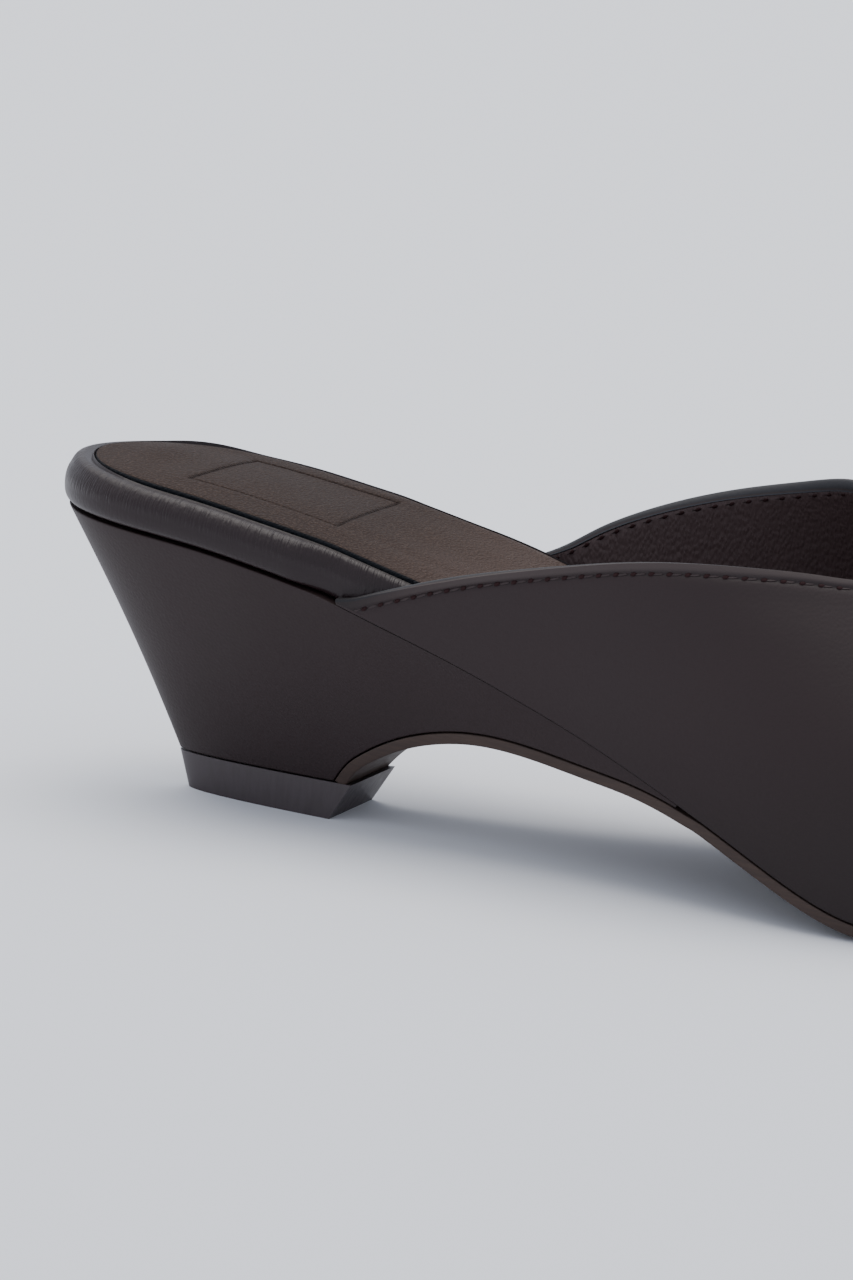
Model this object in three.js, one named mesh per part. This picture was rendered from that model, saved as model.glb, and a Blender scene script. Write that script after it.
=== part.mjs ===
// A pointed-toe mule for the right foot, on a covered wedge heel.
// Millimetres. +X runs to the toe, +Y to the inner (medial) side of the foot, +Z up.
// The origin is on the floor, under the middle of the shoe's bounding box.
// Inside the functions a point is [station, across, height]: station is measured from the
// back of the seat and across from the heel's own centre line.
import * as THREE from "three";

// Driving sizes
const overallLength = 262; // back of the seat to the toe tip
const seatWidth = 58; // wrapped insole, across the heel
const ballWidth = 76; // upper at the feather line, across the ball
const seatHeight = 54.3; // floor to the top of the wedge, at the back
const instepHeight = 66; // last's ridge over its feather line, at the waist
const toeBoxHeight = 13.5; // thickness of the toe box just behind its tip
const toeSpring = 5; // lift of the sole's tip above the floor
const archLift = 5; // inner edge of the footbed over its outer edge, at the waist
const soleThickness = 2.1;
const insoleThickness = 8.2; // wrapped rim, at the back of the heel
const rimRound = 3.4; // how far in the rim's rounded top reaches
const sockThickness = 0.9; // sock lining, at its edge
const sockPadding = 1.2; // how far its middle stands above its edge
const sockInset = 4.1; // sock edge from the rim's outside
const sockBackInset = 5.6; // the same, at the back of the seat
const upperWall = 1.8; // leather and lining together
const sideBulge = 2; // how far the upper swells past its feather line
const wedgeInset = 1; // wedge inside the rim's outside
const wedgeTip = 0.5; // thickness where the wedge runs out
const wedgeHollow = 0.8; // how far its sides dip in between seat and lift
const treadFront = 60; // back of the seat to the front of the tread
const soleInset = 0.5; // sole inside the feather line
const edgeBevel = 0.4; // how much narrower the sole's tread is than its top
const runOut = 6; // length over which the sole comes up to the upper, past the wedge
const liftHeight = 7; // top lift under the heel
const liftLength = 33.6; // its tread, on the floor
const liftWidth = 20.4; // its tread, at the front
const liftFlare = 0.35; // how far its top stands outside its tread, on the sides
const liftBackRake = 2.2; // how far its back leans out
const liftFrontRake = 4.2; // how far its front face leans out
const breastLedge = 0.9; // lift's top, in front of the sole's end
const fit = 0.3; // clearance between neighbouring pieces

// Shares and ratios
const wedgeFront = 0.513; // station where the wedge runs out, as a share of the length
const entryStart = 0.214; // station where the rim begins to tuck inside the upper
const entryEnd = 0.246; // and where it is tucked in
const boardEnd = 0.966; // station where board and sock stop, inside the toe
const paddingFrom = 0.48; // stations between which the sock's padding runs out
const paddingTo = 0.77;
const leadFrom = 0.1; // station where the plan's middle begins to leave the heel's centre line
const tuckShare = 0.62; // how much of the rim's rounding and the sock's inset is left when tucked in
const steep = 1.25; // how long a step along the sole's thickness is, on the level, at the breast
const leastLean = 0.05; // least share of the breast that the foot of the wedge's back leans in

// How finely the bodies are divided
const liftRows = 14;
const seatRows = 18;
const archRows = 26;
const archCrowding = 1.25; // rows of the arch stand closer together at the breast
const sideSteps = 6;
const soleRows = 40;
const boardRowCount = 58;
const sockColumns = 8;
const wingRows = 24;
const vampRows = 22;
const upperColumns = 12;

// Plan of the last at the feather line. Stations are shares of the length. The seat's half
// width is a share of the seat's own, and farther on centre and half width are shares of the
// ball's half width. The two tables run into each other at the waist.
const seatPlan = [
  { station: 0, half: 0 },
  { station: 0.012, half: 0.43 },
  { station: 0.038, half: 0.735 },
  { station: 0.078, half: 0.92 },
  { station: 0.125, half: 0.99 },
  { station: 0.175, half: 1 },
  { station: 0.235, half: 0.965 },
  { station: 0.3, half: 0.925 },
  { station: 0.37, half: 0.905 },
];
const frontPlan = [
  { station: 0.3, centre: -0.03, half: 0.706 },
  { station: 0.37, centre: -0.045, half: 0.7 },
  { station: 0.425, centre: -0.055, half: 0.735 },
  { station: 0.48, centre: -0.06, half: 0.802 },
  { station: 0.54, centre: -0.06, half: 0.888 },
  { station: 0.59, centre: -0.058, half: 0.957 },
  { station: 0.64, centre: -0.052, half: 0.995 },
  { station: 0.69, centre: -0.035, half: 0.98 },
  { station: 0.745, centre: -0.005, half: 0.912 },
  { station: 0.8, centre: 0.035, half: 0.79 },
  { station: 0.86, centre: 0.08, half: 0.62 },
  { station: 0.915, centre: 0.11, half: 0.432 },
  { station: 0.955, centre: 0.125, half: 0.286 },
  { station: 0.985, centre: 0.132, half: 0.158 },
  { station: 1, centre: 0.135, half: 0 },
];
// Feather line, where upper and insole meet what is under them: rise as a share of the seat's
// height over the forefoot, spring as a share of the toe spring, arch as a share of how much
// higher the inner side lies. A share under nothing leaves the sole flat on the floor.
const featherLine = [
  { station: 0, rise: 1, spring: 0, arch: 0.1 },
  { station: 0.05, rise: 0.982, spring: 0, arch: 0.1 },
  { station: 0.1, rise: 0.957, spring: 0, arch: 0.1 },
  { station: 0.15, rise: 0.9255, spring: 0, arch: 0.12 },
  { station: 0.19, rise: 0.886, spring: 0, arch: 0.18 },
  { station: 0.225, rise: 0.842, spring: 0, arch: 0.3 },
  { station: 0.28, rise: 0.745, spring: 0, arch: 0.6 },
  { station: 0.335, rise: 0.647, spring: 0, arch: 0.88 },
  { station: 0.39, rise: 0.546, spring: 0, arch: 1 },
  { station: 0.45, rise: 0.436, spring: 0, arch: 0.95 },
  { station: 0.5, rise: 0.333, spring: 0, arch: 0.78 },
  { station: 0.55, rise: 0.22, spring: 0, arch: 0.52 },
  { station: 0.6, rise: 0.0985, spring: 0, arch: 0.25 },
  { station: 0.64, rise: 0.0216, spring: 0, arch: 0.06 },
  { station: 0.69, rise: -0.004, spring: -0.02, arch: 0 },
  { station: 0.75, rise: -0.004, spring: -0.03, arch: 0 },
  { station: 0.82, rise: -0.004, spring: 0.13, arch: 0 },
  { station: 0.9, rise: -0.004, spring: 0.47, arch: 0 },
  { station: 1, rise: -0.004, spring: 1, arch: 0 },
];
// Ridge of the last over the feather line: instep and toe as shares of their heights, its
// place across as a share of the ball's half width, and how square the section is.
const ridgeLine = [
  { station: 0.2, instep: 1.1, toe: 0, across: 0.05, square: 2.7 },
  { station: 0.35, instep: 1.07, toe: 0, across: 0.08, square: 2.6 },
  { station: 0.45, instep: 1.04, toe: 0, across: 0.12, square: 2.45 },
  { station: 0.53, instep: 0.99, toe: 0, across: 0.15, square: 2.3 },
  { station: 0.59, instep: 0.915, toe: 0, across: 0.16, square: 2.2 },
  { station: 0.64, instep: 0.835, toe: 0, across: 0.16, square: 2.15 },
  { station: 0.69, instep: 0.72, toe: 0.1, across: 0.155, square: 2.1 },
  { station: 0.75, instep: 0.54, toe: 0.3, across: 0.145, square: 2.1 },
  { station: 0.82, instep: 0.31, toe: 0.65, across: 0.14, square: 2.1 },
  { station: 0.89, instep: 0.13, toe: 0.88, across: 0.135, square: 2.15 },
  { station: 0.95, instep: 0.03, toe: 0.93, across: 0.135, square: 2.2 },
  { station: 0.985, instep: 0, toe: 0.74, across: 0.135, square: 2.2 },
  { station: 1, instep: 0, toe: 0.42, across: 0.135, square: 2.2 },
];
// Topline: the station where each share of the ridge's height is cut, on the outer (lateral)
// and inner (medial) side. Both end at the throat.
const topline = [
  { rise: 0, lateral: 0.244, medial: 0.272 },
  { rise: 0.03, lateral: 0.2623, medial: 0.2915 },
  { rise: 0.06, lateral: 0.2747, medial: 0.305 },
  { rise: 0.12, lateral: 0.2979, medial: 0.3294 },
  { rise: 0.25, lateral: 0.3514, medial: 0.3681 },
  { rise: 0.4, lateral: 0.4175, medial: 0.4155 },
  { rise: 0.55, lateral: 0.4823, medial: 0.4662 },
  { rise: 0.7, lateral: 0.5439, medial: 0.5126 },
  { rise: 0.82, lateral: 0.5865, medial: 0.5437 },
  { rise: 0.9, lateral: 0.6135, medial: 0.565 },
  { rise: 0.96, lateral: 0.6265, medial: 0.5935 },
  { rise: 1, lateral: 0.634, medial: 0.634 },
];
// Arch under the wedge, from the breast of the heel to the wedge's front edge: rise is a share
// of the way up from the lift to the feather line, spread of the way out from lift to last.
const archLine = [
  { along: 0, rise: 0, spread: 0 },
  { along: 0.04, rise: 0.1, spread: 0.12 },
  { along: 0.09, rise: 0.186, spread: 0.23 },
  { along: 0.19, rise: 0.325, spread: 0.4 },
  { along: 0.3, rise: 0.449, spread: 0.55 },
  { along: 0.45, rise: 0.581, spread: 0.72 },
  { along: 0.62, rise: 0.683, spread: 0.865 },
  { along: 0.78, rise: 0.78, spread: 0.945 },
  { along: 0.9, rise: 0.9, spread: 0.98 },
  { along: 1, rise: 1, spread: 1 },
];
// Thickness of the insole board, as a share of the rim's at the back of the heel.
const boardLine = [
  { station: 0, thick: 1 },
  { station: 0.06, thick: 0.955 },
  { station: 0.12, thick: 0.915 },
  { station: 0.2, thick: 0.905 },
  { station: 0.26, thick: 0.975 },
  { station: 0.31, thick: 1.04 },
  { station: 0.36, thick: 1.02 },
  { station: 0.42, thick: 0.91 },
  { station: 0.49, thick: 0.7 },
  { station: 0.55, thick: 0.5 },
  { station: 0.62, thick: 0.4 },
  { station: 0.7, thick: 0.39 },
  { station: 1, thick: 0.39 },
];

// Natural cubic spline through rows, for one column against another.
function spline(rows, key, column) {
  const x = rows.map((row) => row[key]);
  const y = rows.map((row) => row[column]);
  const last = x.length - 1;
  const bend = new Array(last + 1).fill(0);
  const share = new Array(last + 1).fill(0);
  for (let i = 1; i < last; i++) {
    const before = x[i] - x[i - 1];
    const after = x[i + 1] - x[i];
    const turn = (y[i + 1] - y[i]) / after - (y[i] - y[i - 1]) / before;
    const pivot = 2 * (before + after) - before * share[i - 1];
    share[i] = after / pivot;
    bend[i] = (6 * turn - before * bend[i - 1]) / pivot;
  }
  for (let i = last - 1; i > 0; i--) bend[i] -= share[i] * bend[i + 1];
  return (at) => {
    let i = 0;
    while (i < last - 1 && at > x[i + 1]) i++;
    const width = x[i + 1] - x[i];
    const a = (x[i + 1] - at) / width;
    const b = (at - x[i]) / width;
    const curve = (a ** 3 - a) * bend[i] + (b ** 3 - b) * bend[i + 1];
    return a * y[i] + b * y[i + 1] + (curve * width ** 2) / 6;
  };
}

// Stations turned into an angle, so that a plan rounds off at both of its ends.
const turnOf = (share) => Math.acos(1 - 2 * Math.min(1, Math.max(0, share))) / Math.PI;
const turned = (rows) => rows.map((row) => ({ ...row, turn: turnOf(row.station) }));
const smooth = (from, to, at) => THREE.MathUtils.smoothstep(at, from, to);

const seatHalf = spline(turned(seatPlan), "turn", "half");
const frontHalf = spline(turned(frontPlan), "turn", "half");
const frontCentre = spline(frontPlan, "station", "centre");
const featherRise = spline(featherLine, "station", "rise");
const featherSpring = spline(featherLine, "station", "spring");
const featherArch = spline(featherLine, "station", "arch");
const ridgeInstep = spline(ridgeLine, "station", "instep");
const ridgeToe = spline(ridgeLine, "station", "toe");
const ridgeAcross = spline(ridgeLine, "station", "across");
const ridgeSquare = spline(ridgeLine, "station", "square");
const archRise = spline(archLine, "along", "rise");
const archSpread = spline(archLine, "along", "spread");
const boardThick = spline(boardLine, "station", "thick");

// Plan of the last at a station: its middle and half width, at the feather line.
function plan(station) {
  const share = station / overallLength;
  const turn = turnOf(share);
  const blend = smooth(seatPlan.at(-2).station, seatPlan.at(-1).station, share);
  const seat = share < seatPlan.at(-1).station ? (seatHalf(turn) * seatWidth) / 2 : 0;
  const front = share > frontPlan[0].station ? (frontHalf(turn) * ballWidth) / 2 : 0;
  const middle = share > frontPlan[0].station ? frontCentre(share) : frontPlan[0].centre;
  const lead = smooth(leadFrom, frontPlan[0].station, share);
  return {
    middle: (lead * middle * ballWidth) / 2,
    half: Math.max(0, seat * (1 - blend) + front * blend),
  };
}

// Height of the footbed's underside above the floor, with the feather line as its edge.
const floorStack = soleThickness + fit;
const archEnd = featherLine.filter((row) => row.arch === 0)[0].station;
function feather(station, across) {
  const share = station / overallLength;
  const rise = Math.max(0, featherRise(share));
  const spring = Math.max(0, featherSpring(share));
  const arch = share < archEnd ? Math.max(0, featherArch(share)) : 0;
  const height = floorStack + (seatHeight - floorStack) * rise + toeSpring * spring;
  const lean = (across - plan(station).middle) / (seatWidth / 2);
  return height + ((lean + 1) / 2) * archLift * arch;
}

// A point of the plan moved inwards along its own normal. side is -1 on the outer side of
// the foot and +1 on the inner side.
function planPoint(station, side, inset) {
  const at = (turn) => {
    const along = (overallLength * (1 - Math.cos(Math.PI * turn))) / 2;
    const { middle, half } = plan(along);
    return [along, middle + side * half];
  };
  const step = 1e-3;
  const turn = turnOf(station / overallLength);
  const [s, across] = at(turn);
  if (turn < step) return [s + inset, across];
  if (turn > 1 - step) return [s - inset, across];
  const [s0, across0] = at(turn - step);
  const [s1, across1] = at(turn + step);
  const length = Math.hypot(s1 - s0, across1 - across0);
  const along = (s1 - s0) / length;
  const outward = (side * (across1 - across0)) / length;
  return [s + outward * inset, across - side * along * inset];
}

// Stations closer together at the back of the seat and at the toe, where the plan turns.
function stations(from, to, count) {
  const first = turnOf(from / overallLength);
  const last = turnOf(to / overallLength);
  const rows = [];
  for (let i = 0; i <= count; i++) {
    const turn = first + ((last - first) * i) / count;
    rows.push((overallLength * (1 - Math.cos(Math.PI * turn))) / 2);
  }
  return rows;
}
const lerp = THREE.MathUtils.lerp;
const between = (a, b, share) => a.map((value, i) => lerp(value, b[i], share));

// A closed body from triangles between named points. Corners that fall together are one.
class Body {
  constructor() {
    this.corners = new Map();
    this.points = [];
    this.faces = [];
  }
  corner(point) {
    const key = point.map((value) => Math.round(value * 1e4)).join(" ");
    if (!this.corners.has(key)) {
      this.corners.set(key, this.points.length);
      this.points.push(point);
    }
    return this.corners.get(key);
  }
  triangle(a, b, c) {
    const [i, j, k] = [this.corner(a), this.corner(b), this.corner(c)];
    if (i !== j && j !== k && k !== i) this.faces.push(i, j, k);
  }
  quad(a, b, c, d) {
    this.triangle(a, b, c);
    this.triangle(a, c, d);
  }
  geometry() {
    const geometry = new THREE.BufferGeometry();
    geometry.setAttribute("position", new THREE.Float32BufferAttribute(this.points.flat(), 3));
    geometry.setIndex(this.faces);
    geometry.computeVertexNormals();
    return geometry;
  }
}

// Skin over sections of equal length, each a closed ring seen from the toe as going round
// over the top from the outer side to the inner side and back underneath.
function skin(rings) {
  const body = new Body();
  for (let i = 0; i + 1 < rings.length; i++) {
    const [near, far] = [rings[i], rings[i + 1]];
    for (let j = 0; j < near.length; j++) {
      const next = (j + 1) % near.length;
      body.quad(near[j], far[j], far[next], near[next]);
    }
  }
  const [first, last] = [rings[0], rings.at(-1)];
  for (let j = 1; j + 1 < first.length; j++) {
    body.triangle(first[0], first[j], first[j + 1]);
    body.triangle(last[0], last[j + 1], last[j]);
  }
  return body.geometry();
}

// Top lift: its edge from the back, round to the front, and its rise from tread to top.
const liftBack = treadFront - liftLength;
function liftEdge(turn, rise, side) {
  const back = liftBack - liftBackRake * rise;
  const front = treadFront + liftFrontRake * rise;
  const half = liftWidth / 2 + liftFlare * rise;
  return [lerp(back, front, turn ** 2), side * half * turn, liftHeight * rise];
}
function topLift() {
  const rings = [];
  for (let i = 0; i <= liftRows; i++) {
    const at = (rise, side) => liftEdge(i / liftRows, rise, side);
    rings.push([at(1, -1), at(1, 1), at(0, 1), at(0, -1)]);
  }
  return skin(rings);
}

// Underside of the wedge, from the breast of the heel to where the wedge runs out.
const wedgeEnd = wedgeFront * overallLength;
const liftTop = liftHeight + fit;
const breast = treadFront + liftFrontRake - breastLedge - (soleThickness + fit) * steep;
const archStation = (along) => lerp(breast, wedgeEnd, along);

// Where a line down the wedge's side meets the lift, as a turn of the lift's edge. The lines
// are upright at the breast and lean more and more towards the front behind it.
const liftTopLength = liftLength + liftBackRake + liftFrontRake;
function footTurn(station) {
  const share = station / breast;
  const whole = breast - liftBack + liftBackRake;
  const start = Math.max(leastLean * breast, 2 * whole - breast);
  return Math.sqrt((start * share + (whole - start) * share ** 2) / liftTopLength);
}
function archHeight(along, across) {
  const top = feather(archStation(along), across) - fit - wedgeTip;
  return lerp(liftTop, top, archRise(along));
}
function archPoint(along, side) {
  const station = archStation(along);
  const outer = planPoint(station, side, wedgeInset)[1];
  const inner = liftEdge(footTurn(breast), 1, side)[1];
  const across = lerp(inner, outer, archSpread(along));
  return [station, across, archHeight(along, across)];
}

// Side of the wedge from the seat's edge down to its underside, dipping in on the way.
function wedgeSide(station, side, foot, count) {
  const [top, across] = planPoint(station, side, wedgeInset);
  const [dipTop, dipAcross] = planPoint(station, side, wedgeInset + wedgeHollow);
  const head = [top, across, feather(top, across) - fit];
  const depth = (head[2] - foot[2]) / seatHeight;
  const points = [];
  for (let i = 0; i <= count; i++) {
    const share = i / count;
    const dip = Math.sin(Math.PI * share) * depth;
    const point = between(head, foot, share);
    points.push([point[0] + (dipTop - top) * dip, point[1] + (dipAcross - across) * dip, point[2]]);
  }
  return points;
}
function heelWedge() {
  const rings = [];
  const ring = (station, outerFoot, innerFoot) => {
    const outer = wedgeSide(station, -1, outerFoot, sideSteps);
    const inner = wedgeSide(station, 1, innerFoot, sideSteps);
    rings.push([...inner, ...outer.reverse()]);
  };
  for (const station of stations(0, breast, seatRows)) {
    const foot = (side) => [...liftEdge(footTurn(station), 1, side).slice(0, 2), liftTop];
    ring(station, foot(-1), foot(1));
  }
  for (let i = 1; i <= archRows; i++) {
    const along = (i / archRows) ** archCrowding;
    ring(archStation(along), archPoint(along, -1), archPoint(along, 1));
  }
  return skin(rings);
}

// Sole: laid against the wedge's underside, and in front of it against the upper. outline
// gives its edge on either side, moved in by an inset.
function soleRow(profile, outline, level) {
  const step = 0.05;
  const point = (side, depth, inset) => {
    const [station, across] = outline(side, inset);
    const height = profile(station, across);
    const slope = (profile(station + step, across) - height) / step;
    const length = Math.hypot(1, slope);
    const [forward, down] = level ? [length / Math.abs(slope), 0] : [slope / length, 1 / length];
    return [station + forward * depth, across, height - down * depth];
  };
  const foot = fit + soleThickness;
  return [point(-1, fit, 0), point(1, fit, 0), point(1, foot, edgeBevel), point(-1, foot, edgeBevel)];
}
function outsole() {
  const rings = [];
  const underArch = (station, across) => archHeight((station - breast) / (wedgeEnd - breast), across);
  for (let i = 0; i <= archRows; i++) {
    const along = (i / archRows) ** archCrowding;
    const outline = (side, inset) => [archStation(along), archPoint(along, side)[1] - side * inset];
    rings.push(soleRow(underArch, outline, i === 0));
  }
  const underUpper = (station, across) => {
    const gap = (fit + wedgeTip) * (1 - smooth(wedgeEnd, wedgeEnd + runOut, station));
    return feather(station, across) - gap;
  };
  for (const station of stations(wedgeEnd, overallLength, soleRows).slice(1)) {
    const edge = lerp(wedgeInset, soleInset, smooth(wedgeEnd, wedgeEnd + runOut, station));
    rings.push(soleRow(underUpper, (side, inset) => planPoint(station, side, edge + inset), false));
  }
  return skin(rings);
}

// Insole board: a rounded rim round the seat, tucked inside the upper in front of it.
const tuck = (station) => smooth(entryStart, entryEnd, station / overallLength);
const boardThickness = (station) => insoleThickness * boardThick(station / overallLength);
const boardRows = stations(0, boardEnd * overallLength, boardRowCount);
// Section of the rim: height as a share of the board's thickness, inset as a share of the
// rim's rounding.
const rimSection = [
  { height: 0, inset: 0.32 },
  { height: 0.2, inset: 0.07 },
  { height: 0.45, inset: 0 },
  { height: 0.68, inset: 0.04 },
  { height: 0.86, inset: 0.2 },
  { height: 0.96, inset: 0.54 },
  { height: 1, inset: 1 },
];
function boardPoint(station, side, row) {
  const tucked = tuck(station);
  const inset = lerp(row.inset * rimRound, upperWall + fit + row.inset * rimRound * tuckShare, tucked);
  const [s, across] = planPoint(station, side, inset);
  return [s, across, feather(s, across) + boardThickness(s) * row.height];
}
function insole() {
  const rings = boardRows.map((station) => {
    const inner = rimSection.map((row) => boardPoint(station, 1, row)).reverse();
    const outer = rimSection.map((row) => boardPoint(station, -1, row));
    const over = between(inner.at(-1), outer[0], 0.5);
    const under = between(inner[0], outer.at(-1), 0.5);
    return [...inner, over, ...outer, under];
  });
  return skin(rings);
}

// Sock lining on the board, padded in the middle.
function sock() {
  const edge = (station, side, lift) => {
    const rim = lerp(sockBackInset, sockInset, smooth(0, seatWidth / 2, station));
    const inset = lerp(rim, upperWall + fit + sockInset * tuckShare, tuck(station));
    const [s, across] = planPoint(station, side, inset);
    return [s, across, feather(s, across) + boardThickness(s) + fit + lift];
  };
  const rings = boardRows.map((station) => {
    const outer = edge(station, -1, sockThickness);
    const inner = edge(station, 1, sockThickness);
    const runsOut = smooth(paddingFrom, paddingTo, station / overallLength);
    const swell = sockPadding * smooth(0, seatWidth / 2, station) * (1 - runsOut);
    const crown = [];
    for (let i = 0; i <= sockColumns; i++) {
      const share = i / sockColumns;
      const [s, across, height] = between(outer, inner, share);
      crown.push([s, across, height + swell * 4 * share * (1 - share)]);
    }
    const under = [edge(station, 1, 0), edge(station, -1, 0)];
    return [...crown, under[0], between(...under, 0.5), under[1]];
  });
  return skin(rings);
}

// Upper: a point on the last's section, at a share of the ridge's height, moved in by inset.
const ridgeHeight = (station) => {
  const share = station / overallLength;
  return instepHeight * Math.max(0, ridgeInstep(share)) + toeBoxHeight * Math.max(0, ridgeToe(share));
};
function upperPoint(station, side, rise, inset) {
  const [near, across] = planPoint(station, side, inset);
  const [opposite] = planPoint(station, -side, inset);
  const { middle, half } = plan(station);
  const square = ridgeSquare(station / overallLength);
  const wide = rise < 1 ? (1 - rise ** square) ** (1 / square) : 0;
  const s = lerp((near + opposite) / 2, near, wide);
  const ridge = middle + ridgeAcross(station / overallLength) * half;
  const base = lerp(feather(s, middle), feather(s, across), wide);
  const swell = (sideBulge * half * 4 * rise * (1 - rise)) / (ballWidth / 2);
  return [s, lerp(ridge, across, wide) + side * swell, base + (ridgeHeight(s) - inset) * rise];
}
const cutLateral = spline(topline, "rise", "lateral");
const cutMedial = spline(topline, "rise", "medial");
const throat = topline.at(-1).lateral * overallLength;

// Rows of the upper from its back ends to the toe: where each crosses it on either side, and
// how high the leather goes there, as a share of the ridge.
function upperRows() {
  const rows = [];
  for (let i = 0; i < wingRows; i++) {
    const top = Math.sin((Math.PI / 2) * (i / wingRows));
    rows.push({ lateral: cutLateral(top) * overallLength, medial: cutMedial(top) * overallLength, top });
  }
  for (const station of stations(throat, overallLength, vampRows)) {
    rows.push({ lateral: station, medial: station, top: 1 });
  }
  return rows;
}
function upper() {
  const body = new Body();
  const rows = upperRows();
  const point = (row, side, column, inset) => {
    const angle = Math.asin(row.top) * (column / upperColumns);
    const station = side < 0 ? row.lateral : row.medial;
    return upperPoint(station, side, Math.sin(angle), inset);
  };
  for (let i = 0; i + 1 < rows.length; i++) {
    const [near, far] = [rows[i], rows[i + 1]];
    for (const side of [-1, 1]) {
      const face = (a, b, c, d) => (side < 0 ? body.quad(a, b, c, d) : body.quad(d, c, b, a));
      for (let j = 0; j < upperColumns; j++) {
        const outside = [near, far].map((row) => [point(row, side, j, 0), point(row, side, j + 1, 0)]);
        const inside = [near, far].map((row) => [
          point(row, side, j, upperWall),
          point(row, side, j + 1, upperWall),
        ]);
        face(outside[0][0], outside[1][0], outside[1][1], outside[0][1]);
        face(inside[0][1], inside[1][1], inside[1][0], inside[0][0]);
      }
      const low = (row, inset) => point(row, side, 0, inset);
      face(low(near, upperWall), low(far, upperWall), low(far, 0), low(near, 0));
      if (far.top < 1 || near.top < 1) {
        const high = (row, inset) => point(row, side, upperColumns, inset);
        face(high(near, 0), high(far, 0), high(far, upperWall), high(near, upperWall));
      }
    }
  }
  return body.geometry();
}

// Assembly
const leather = { color: 0x35302f, roughness: 0.5, metalness: 0 };
const pieces = [
  { name: "outsole", geometry: outsole(), look: { color: 0x4d4038, roughness: 0.6, metalness: 0 } },
  { name: "heel_wedge", geometry: heelWedge(), look: leather },
  { name: "top_lift", geometry: topLift(), look: { color: 0x2c2226, roughness: 0.4, metalness: 0 } },
  { name: "insole", geometry: insole(), look: leather },
  { name: "sock", geometry: sock(), look: { color: 0x55483f, roughness: 0.6, metalness: 0 } },
  { name: "upper", geometry: upper(), look: leather },
];
const shoe = new THREE.Group();
for (const { name, geometry, look } of pieces) {
  const mesh = new THREE.Mesh(geometry, new THREE.MeshStandardMaterial(look));
  mesh.name = name;
  shoe.add(mesh);
}
const box = new THREE.Box3().setFromObject(shoe);
shoe.position.set(-(box.min.x + box.max.x) / 2, -(box.min.y + box.max.y) / 2, -box.min.z);
shoe.updateMatrixWorld(true);

export default shoe;
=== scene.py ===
# Pointed toe mule, right foot: the leather, linings, stitching and finishes around the solids.
# Shapes are worked out in millimetres as [station, across, height]: station from the back of the
# seat to the toe, across from the heel's centre line to the inner side of the foot, height above
# the floor. in_row() turns them into metres in the frame.
import math

import bmesh
import bpy
import numpy as np
from mathutils import Matrix, Vector


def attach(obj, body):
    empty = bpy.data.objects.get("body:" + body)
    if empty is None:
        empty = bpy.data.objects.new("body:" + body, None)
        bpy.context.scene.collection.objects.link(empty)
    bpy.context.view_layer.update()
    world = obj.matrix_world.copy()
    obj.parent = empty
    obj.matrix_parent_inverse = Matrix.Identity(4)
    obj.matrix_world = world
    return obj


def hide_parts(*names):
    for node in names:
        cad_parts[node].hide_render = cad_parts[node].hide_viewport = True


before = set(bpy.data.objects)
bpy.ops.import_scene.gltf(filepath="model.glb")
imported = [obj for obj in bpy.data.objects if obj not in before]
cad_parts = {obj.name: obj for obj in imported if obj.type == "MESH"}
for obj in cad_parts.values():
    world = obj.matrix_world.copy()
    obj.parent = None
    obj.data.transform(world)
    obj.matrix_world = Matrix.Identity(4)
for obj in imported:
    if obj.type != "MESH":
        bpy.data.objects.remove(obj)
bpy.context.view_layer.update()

# Sizes of the last, the same as the solids'
LENGTH = 262.0  # back of the seat to the toe tip
SEAT_WIDTH = 58.0  # wrapped insole, across the heel
BALL_WIDTH = 76.0  # upper at the feather line, across the ball
SEAT_HEIGHT = 54.3  # floor to the top of the wedge, at the back
INSTEP_HEIGHT = 66.0  # last's ridge over its feather line, at the waist
TOE_BOX_HEIGHT = 13.5  # thickness of the toe box just behind its tip
TOE_SPRING = 5.0  # lift of the sole's tip above the floor
ARCH_LIFT = 5.0  # inner edge of the footbed over its outer edge, at the waist
SOLE_THICKNESS = 2.1
RIM_THICKNESS = 8.2  # wrapped rim, at the back of the heel
RIM_ROUND = 3.4  # how far in the rim's rounded top reaches
SOCK_THICKNESS = 0.9  # sock lining, at its edge
SOCK_INSET = 4.1  # sock edge from the rim's outside
SOCK_BACK_INSET = 5.6  # the same, at the back of the seat
UPPER_WALL = 1.8  # leather and lining together
SIDE_BULGE = 2.0  # how far the upper swells past its feather line
WEDGE_INSET = 1.0  # wedge inside the rim's outside
WEDGE_TIP = 0.5  # thickness where the wedge runs out
WEDGE_HOLLOW = 0.8  # how far its sides dip in between seat and lift
TREAD_FRONT = 60.0  # back of the seat to the front of the tread
SOLE_INSET = 0.5  # sole inside the feather line
EDGE_BEVEL = 0.4  # how much narrower the sole's tread is than its top
RUN_OUT = 6.0  # length over which the sole comes up to the upper, past the wedge
LIFT_HEIGHT = 7.0  # top lift under the heel
LIFT_LENGTH = 33.6  # its tread, on the floor
LIFT_WIDTH = 20.4  # its tread, at the front
LIFT_FLARE = 0.35  # how far its top stands outside its tread, on the sides
LIFT_BACK_RAKE = 2.2  # how far its back leans out
LIFT_FRONT_RAKE = 4.2  # how far its front face leans out
BREAST_LEDGE = 0.9  # lift's top, in front of the sole's end
FIT = 0.3  # clearance between neighbouring pieces
ACROSS_SHIFT = 1.836  # heel's centre line from the middle of the shoe's box

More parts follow.
